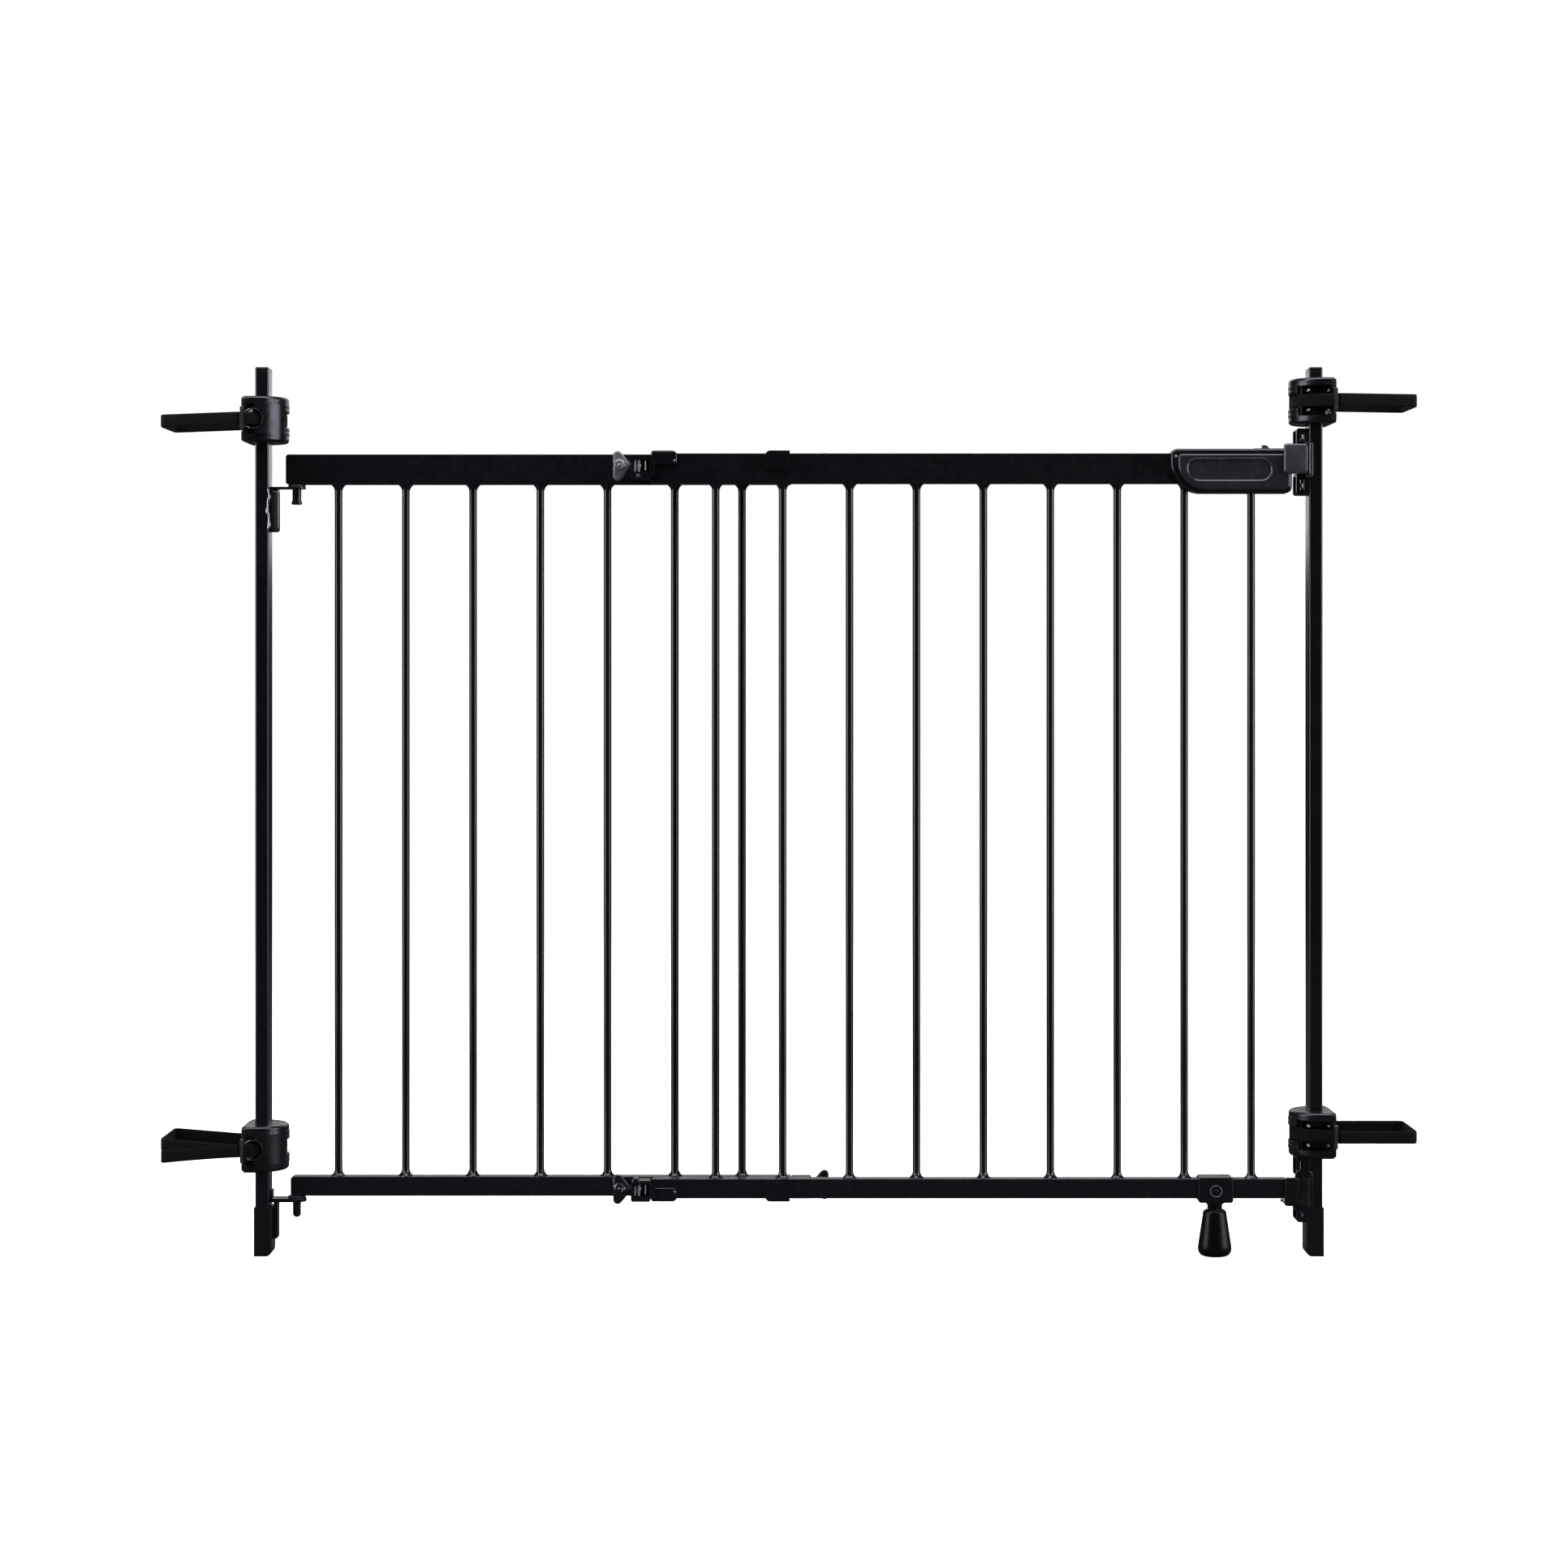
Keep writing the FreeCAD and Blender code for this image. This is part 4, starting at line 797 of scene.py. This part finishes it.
def make_knob(node):
    """Two-winged thumb knob with dished finger faces, on its stud."""
    low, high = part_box(node)
    rear = node.startswith("rear")
    y, z = middle_of(node)[1:]
    radius = (high[2] - low[2]) / 2
    outer, inward = (high[0], -1) if rear else (low[0], 1)
    # Distance inward, reach as a share of the radius, and half thickness; lengths in millimetres
    wing = [(1.2, 0.72, 2.4), (1.6, 0.82, 3.4), (2.5, 0.91, 4.3), (4.0, 0.975, 5.0), (5.9, 1.0, 5.5),
            (7.6, 0.975, 5.8), (9.6, 0.87, 6.1), (11.8, 0.71, 6.2), (14.0, 0.53, 5.8), (16.0, 0.38, 5.2),
            (17.6, 0.29, 4.7), (18.9, 0.26, 4.3)]
    ridge_pitch, ridge_reach = 4.4, 11.0
    rings, count, finer = [], 72, 3
    for index in range((len(wing) - 1) * finer + 1):
        start = wing[index // finer]
        stop = wing[min(len(wing) - 1, index // finer + 1)]
        part = (index % finer) / finer
        distance, share, depth = [a + part * (b - a) for a, b in zip(start, stop)]
        ring = []
        for corner in range(count):
            angle = 2 * pi * corner / count
            up = cos(angle)
            dish = 1 - 0.40 * sin(pi * min(1.0, abs(up) ** 1.4)) * min(1.0, share * share)
            from_curl = hypot(distance - 8.0, (up * share - 0.05) * radius / MM)
            ridge = 0.95 * cos(from_curl * 2 * pi / ridge_pitch) * max(0.0, 1 - from_curl / ridge_reach)
            ring.append((outer + inward * distance * MM,
                         y + (depth * dish + ridge * abs(sin(angle))) * MM * sin(angle),
                         z + radius * share * up))
        rings.append(ring)
    knob = tube_of_rings(node + "_wings", rings)
    smooth = knob.modifiers.new("smooth", "SUBSURF")
    smooth.levels = smooth.render_levels = 1
    # The upper front knob alone takes the pale copy: a painted highlight for the light it catches.
    pale = "knob_painted_highlight" if node == "front_knob_upper" else None
    settle(knob, BODY_OF[node], "knob_plastic", (node,), smooth_deg=60, finish=pale)
    start, run, pitch = outer + inward * 18.0 * MM, 11.8 * MM, 1.0 * MM
    steps = ceil(run / (pitch / 4))
    threads = []
    for index in range(steps + 1):
        depth = 0.25 * MM * abs((index % 4) / 2 - 1)
        threads.append((start + inward * run * index / steps, 3.0 * MM - depth))
    stud = turned(node + "_stud", threads, (0, y, z), along="x", count=24)
    settle(stud, BODY_OF[node], "bare_steel", smooth_deg=25)


# ---------------------------------------------------------------- hinge pins

def make_hinge_pins():
    """Upper pin with its collar and lower pin with a bullet end, as turned steel."""
    node = "hinge_pins"
    axis = (-0.5085, 0.0085, 0)
    tip, rail_z = 0.7734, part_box("rear_top_rail")[0][2]
    upper = [(tip, 4.4), (tip + 0.0005, 5.4), (tip + 0.0030, 5.5), (tip + 0.0036, 4.7), (tip + 0.0044, 4.6),
             (rail_z - 0.0008, 4.6), (rail_z, 5.0)]
    pin = turned("upper_hinge_pin", [(z, r * MM) for z, r in upper], axis, count=40)
    settle(pin, BODY_OF[node], SLOT_OF[node], (node,), smooth_deg=40)
    radius, low_tip = 4.2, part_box(node)[0][2]
    lower = [(low_tip + radius * MM * (1 - cos(radians(a))), max(0.02, radius * sin(radians(a))))
             for a in range(0, 91, 10)]
    lower += [(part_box("rear_bottom_rail")[0][2], radius)]
    pin = turned("lower_hinge_pin", [(z, r * MM) for z, r in lower], axis, count=40)
    settle(pin, BODY_OF[node], SLOT_OF[node], smooth_deg=50)


def make_hinge_clip():
    """Rounded spring clip on the upper hinge bracket's leg, in the lighter grey as painted light, with its
    wavy wire down along the upright, whose zinc finish paints a bright curling glint.
    """
    body = "left_post"
    low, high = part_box("upper_hinge_bracket")
    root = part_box("left_upright")[1][0]
    outline_of = rounded_front((root + 0.4 * MM, root + 8.4 * MM), (low[2] + 0.4 * MM, high[2] - 4 * MM),
                               [2.0, 3.4, 3.4, 2.0])
    clip = pillow("hinge_clip", outline_of, -0.0024, 0.002, 1.6 * MM, 0.5 * MM)
    settle(clip, body, "coated_steel", smooth_deg=60, finish="grey_plastic_painted_light")
    rings, steps, y = [], 72, -0.0146
    z0, z1 = low[2] + 3 * MM, high[2] - 3 * MM
    for index in range(steps + 1):
        share = index / steps
        sway = 1.0 * sin(2 * pi * 1.5 * share) + 0.3 * sin(2 * pi * 4 * share)
        thick = (1.15 + 0.4 * sin(2 * pi * 3 * share)) * MM
        point = (root + (sway - 0.2) * MM, y, z0 + (z1 - z0) * share)
        rings.append(round_section(point, (1, 0, 0), (0, 1, 0), thick, 10))
    wire = tube_of_rings("hinge_clip_painted_glint_wire", rings)
    settle(wire, body, "coated_steel", smooth_deg=80, finish="bright_zinc")


# ---------------------------------------------------------------- handle


def make_handle():
    """Front shell of the latch handle: dark rounded rim, raised face in a lighter copy of the handle plastic
    as painted light, dished stadium recess with a lip painted lighter as a highlight line.
    """
    node = "handle_front_shell"
    low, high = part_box(node)
    front, back = low[1], high[1]
    shoulder = front + 1.3 * MM
    whole = rounded_front((low[0], high[0]), (low[2], high[2]), [33, 6.5, 2.5, 6.8], 14, 0.5)
    plateau = rounded_front((low[0] + 8.5 * MM, high[0] - 3.2 * MM), (low[2] + 3.8 * MM, high[2] - 6.3 * MM),
                            [27, 5.5, 2.0, 3.0], 14, 0.4)
    recess = rounded_front((0.408, 0.495), (0.7962, 0.8192), [13.2, 11.3, 11.3, 9.6], 14)
    rim, steps = 3.0 * MM, 6
    levels = [(back, whole(0.0))]
    for step in range(steps + 1):
        turn = pi / 2 * step / steps
        levels.append((shoulder + rim * (1 - sin(turn)), whole(rim * (1 - cos(turn)))))
    shell = lofted("handle_front", levels)
    # Depth behind the front and inset, in millimetres
    rise = ((1.7, -0.5), (1.2, -0.5), (0.9, 0.0), (0.35, 0.15), (0.08, 0.5), (0.0, 1.1))
    dish = ((0.0, -0.9), (0.12, -0.4), (0.5, 0.0), (1.2, 0.5), (1.8, 1.4), (2.1, 3.0), (2.2, 5.0))
    levels = [(front + depth * MM, plateau(inset * MM)) for depth, inset in rise]
    levels += [(front + depth * MM, recess(inset * MM)) for depth, inset in dish]
    face = lofted("handle_face_plate", levels)
    # The raised face takes the lighter copy of the handle plastic: painted light on the face.
    settle(face, BODY_OF[node], "handle_plastic", smooth_deg=50, finish="handle_face_painted_light")
    rail_low, rail_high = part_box("front_top_rail")
    bolt_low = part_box("latch_bolt")[0]
    plate_low, plate_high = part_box("latch_button")
    travel, play, behind = 8.0 * MM, 0.5 * MM, back + 0.01
    chamber_low, chamber_high = 0.806, 0.824
    tray = 0.826
    stem_low, stem_high = 0.490, 0.498
    cuts = [
        outline_prism("cut_recess", recess(0.2 * MM), front - 0.001, front + 2.6 * MM),
        block("cut_rail", (low[0] - 0.01, rail_low[1], rail_low[2]), (rail_high[0], behind, rail_high[2])),
        block("cut_chamber", (rail_high[0] - play, -0.015, chamber_low),
              (high[0] - 2.8 * MM, behind, chamber_high)),
        block("cut_hole", (high[0] - 4 * MM, bolt_low[1] - 0.8 * play, bolt_low[2] - 0.8 * play),
              (high[0] + 2 * MM, behind, bolt_low[2] + 10.4 * MM)),
        block("cut_tray", (plate_low[0] - travel - play, plate_low[1] - play, tray),
              (plate_high[0] + play, behind, high[2] + 5 * MM)),
        block("cut_slot", (stem_low - travel - play, -0.0124, chamber_high - play),
              (stem_high + play, behind, tray + play)),
    ]
    for bar in ("front_bar_8", "front_bar_9"):
        cuts.append(turned("cut_bar", [(low[2] - 0.002, 0.0043), (rail_low[2] + play, 0.0043)],
                           (middle_of(bar)[0], back, 0), count=32))
    carve(shell, *cuts)
    settle(shell, BODY_OF[node], "handle_plastic", (node,), smooth_deg=50)
    # The recess lip takes the lighter grey: a painted highlight line round the recess.
    lip = ring_bead("handle_recess_lip", recess(-0.1 * MM), front + 0.3 * MM, 0.5 * MM)
    settle(lip, BODY_OF[node], "handle_plastic", smooth_deg=80, finish="grey_plastic_painted_light")
    make_latch_spring()


def make_latch_spring():
    """Coil spring behind the latch bolt, which presses together when the button slides back."""
    node = "latch_spring"
    low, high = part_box(node)
    y, z = middle_of(node)[1:]
    wire = 0.5 * MM
    radius, length = (high[2] - low[2]) / 2 - wire, high[0] - low[0]
    turns, steps = 6, 28
    rings = []
    for index in range(turns * steps + 1):
        share = index / (turns * steps)
        closing = share - 0.035 * sin(2 * pi * share) * 2
        angle = 2 * pi * turns * share
        x = low[0] + wire + (length - 2 * wire) * closing
        out = (0, cos(angle), sin(angle))
        point = (x, y + radius * out[1], z + radius * out[2])
        rings.append(round_section(point, out, (1, 0, 0), wire))
    coil = tube_of_rings("latch_spring_coil", rings)
    settle(coil, BODY_OF[node], "bare_steel", (node,), smooth_deg=80)
    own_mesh(coil)


# ---------------------------------------------------------------- foot

# Middle of the foot clamp's boss, and of the recessed screw in it
BOSS_X, BOSS_Z = 0.438, 0.0678


def make_foot_clamp():
    """Clamp block whose front boss is a ring round a recessed screw."""
    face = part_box("foot_clamp")[0][1]
    hole, ring_radius = 4.6 * MM, 5.7 * MM
    middle = (BOSS_X, 0, BOSS_Z)
    recess = turned("cut_boss", [(face - 0.002, hole), (face + 1.1 * MM, hole)], middle, along="y")
    refined("foot_clamp", bevel=0.0009, segments=3, cutters=(recess,))
    outline = [(BOSS_X + ring_radius * cos(radians(a)), BOSS_Z + ring_radius * sin(radians(a)))
               for a in range(0, 360, 6)]
    ring = ring_bead("foot_clamp_ring", outline, face + 0.1 * MM, 0.95 * MM)
    # The ring takes the lighter grey, a painted highlight on the boss's edge.
    settle(ring, BODY_OF["foot_clamp"], "satin_plastic", smooth_deg=80, finish="grey_plastic_painted_light")


def make_foot():
    """Foot clamp, rubber bell with a counterbored mouth, and the stem that screws into it."""
    make_foot_clamp()
    node = "rubber_foot"
    x, y = middle_of(node)[:2]
    height = 47.7
    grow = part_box(node)[1][2] / (height * MM)
    # Height and radius in millimetres
    bell = [(0.0, 9.0), (0.0, 10.5), (0.5, 12.6), (1.6, 14.6), (3.6, 16.3), (6.4, 17.2), (9.0, 17.3),
            (12.0, 16.9), (20.0, 15.7), (30.0, 14.2), (38.0, 13.0), (42.0, 12.4), (44.5, 12.1),
            (45.9, 11.7), (46.9, 11.0), (47.5, 10.3), (height, 9.6), (44.9, 9.6), (44.6, 8.43), (30.0, 8.43)]
    foot = turned("rubber_foot_bell", [(up * MM * grow, r * MM) for up, r in bell], (x, y, 0), count=64)
    settle(foot, BODY_OF[node], "foot_rubber", (node,), smooth_deg=40)
    stem_low, stem_high = (corner[2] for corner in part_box("foot_stem"))
    threads, step = [], 2.2 * MM / 6
    for index in range(round((stem_high - stem_low - 2.4 * MM) / step) + 1):
        wave = 0.5 + 0.5 * cos(2 * pi * index / 6)
        threads.append((stem_low + step * index, (7.2 + 0.9 * wave) * MM))
    collar_z = threads[-1][0]
    threads += [(collar_z + 0.2 * MM, 8.9 * MM), (collar_z + 0.6 * MM, 9.3 * MM), (stem_high, 9.3 * MM)]
    stem = turned("foot_stem_threaded", threads, (x, y, 0), count=48)
    settle(stem, BODY_OF["foot_stem"], "satin_plastic", ("foot_stem",), smooth_deg=60)


def screw_head(name, centre, radius, body, slot="bare_steel", finish=None):
    """Domed screw head facing the user, with a cross recess."""
    # Distance along and radius, as shares of the head's radius
    dome = [(-0.5, 0.02), (-0.5, 0.35), (-0.44, 0.62), (-0.34, 0.82), (-0.2, 0.95), (-0.08, 1.0), (0.0, 1.0)]
    head = turned(name, [(along * radius, r * radius) for along, r in dome], centre, along="y", count=32)
    x, y, z = centre
    arm, slim = radius * 0.58, radius * 0.13
    front, floor = y - radius, y - radius * 0.28
    carve(head,
          block("cross_a", (x - arm, front, z - slim), (x + arm, floor, z + slim)),
          block("cross_b", (x - slim, front, z - arm), (x + slim, floor, z + arm)))
    return settle(head, body, slot, smooth_deg=40, finish=finish)


# ---------------------------------------------------------------- stage, light and camera

def mix_by_camera_ray(tree, shed, seen, output):
    """One shader for what lights the gate, the other for what shows behind it."""
    rays = tree.nodes.new("ShaderNodeLightPath")
    either = tree.nodes.new("ShaderNodeMixShader")
    feed(tree, either, {0: rays.outputs["Is Camera Ray"], 1: shed.outputs[0], 2: seen.outputs[0]})
    feed(tree, output, {"Surface": either.outputs[0]})


def make_stage():
    """Pale floor without a visible edge, in a white studio that shows brighter than it shines."""
    floor = block("floor", (-40, -40, -0.02), (40, 40, 0.0))
    made, tree, shader, place = shader_tree("pale_floor")
    tone = remap(tree, noise(tree, place.outputs["Object"], 1.5), 0.0, 1.0)
    pale = blend_colours(tree, tone, (0.90, 0.90, 0.90), (0.93, 0.93, 0.93))
    feed(tree, shader, {"Base Color": pale, "Roughness": 0.9, "Specular IOR Level": 0.0,
                        "Emission Color": (1, 1, 1, 1), "Emission Strength": 0.85})
    dim = tree.nodes.new("ShaderNodeBsdfDiffuse")
    feed(tree, dim, {"Color": (0.07, 0.07, 0.08, 1)})
    mix_by_camera_ray(tree, dim, shader, tree.nodes["Material Output"])
    floor.data.materials.append(made)
    world = bpy.data.worlds.new("studio")
    bpy.context.scene.world = world
    world.use_nodes = True
    tree = world.node_tree
    seen, shed = tree.nodes["Background"], tree.nodes.new("ShaderNodeBackground")
    feed(tree, seen, {"Color": (1, 1, 1, 1), "Strength": 1.05})
    feed(tree, shed, {"Color": (0.92, 0.94, 1.0, 1), "Strength": 0.03})
    mix_by_camera_ray(tree, shed, seen, tree.nodes["World Output"])
    bpy.context.scene.view_settings.view_transform = "Standard"


def softbox(name, place, aim, width, height, power):
    data = bpy.data.lights.new(name, "AREA")
    data.shape = "RECTANGLE"
    data.size, data.size_y = width, height
    data.energy = power
    lamp = bpy.data.objects.new(name, data)
    bpy.context.collection.objects.link(lamp)
    lamp.location = place
    lamp.rotation_euler = (Vector(aim) - Vector(place)).to_track_quat("-Z", "Y").to_euler()


def make_lights():
    """Softboxes at both sides, overhead and behind, and a little even daylight."""
    middle = (0, 0, 0.45)
    softbox("key_left", (-2.6, -1.7, 2.5), (-0.2, 0, 0.5), 1.7, 0.9, 32)
    softbox("side_left", (-2.7, -0.7, 0.7), middle, 1.9, 1.9, 62)
    softbox("side_right", (2.7, -0.7, 0.7), middle, 1.9, 1.9, 62)
    softbox("fill_right", (2.6, -1.8, 1.7), (0.4, 0, 0.5), 0.8, 1.2, 14)
    softbox("overhead", (0, -0.5, 2.7), middle, 3.0, 1.2, 70)
    softbox("back", (0.4, 3.2, 2.1), middle, 4.6, 2.8, 44)
    data = bpy.data.lights.new("daylight", "SUN")
    data.energy = 0.55
    data.angle = radians(60)
    bpy.context.collection.objects.link(bpy.data.objects.new("daylight", data))


def make_camera():
    """Level camera straight in front, shifted down, as tall product photographs are taken."""
    distance, frame_width = 3.5, 1.617
    eye_height, centre_height = 0.60, 0.485
    data = bpy.data.cameras.new("camera")
    data.sensor_width = 36.0
    data.lens = data.sensor_width * distance / frame_width
    data.shift_y = (centre_height - eye_height) / frame_width
    camera = bpy.data.objects.new("camera", data)
    bpy.context.collection.objects.link(camera)
    camera.location = (-0.005, -distance, eye_height)
    camera.rotation_euler = (pi / 2, 0, 0)
    bpy.context.scene.camera = camera


# ---------------------------------------------------------------- build

for node, obj in frame["nodes"].items():
    for index in range(len(obj.material_slots)):
        obj.material_slots[index].material = FINISH[SLOT_OF[node]]

make_panels()
make_refined()
make_each("_adapter$", make_adapter)
make_each("_strap$", make_strap)
make_strap_tail()
make_clamps()
make_each("_knob_", make_knob)
make_handle()
make_hinge_pins()
make_hinge_clip()
make_receivers()
make_foot()
# The handle screw takes the zinc finish, its pale colour a painted glint.
screw_head("handle_screw", (0.3966, -0.0222, 0.8214), 0.0016, "front_panel", finish="bright_zinc")
foot_screw = screw_head("foot_screw", (BOSS_X, -0.0203, BOSS_Z), 0.0031, "front_panel", "coated_steel")
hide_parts("front_fasteners")
make_stage()
make_lights()
make_camera()
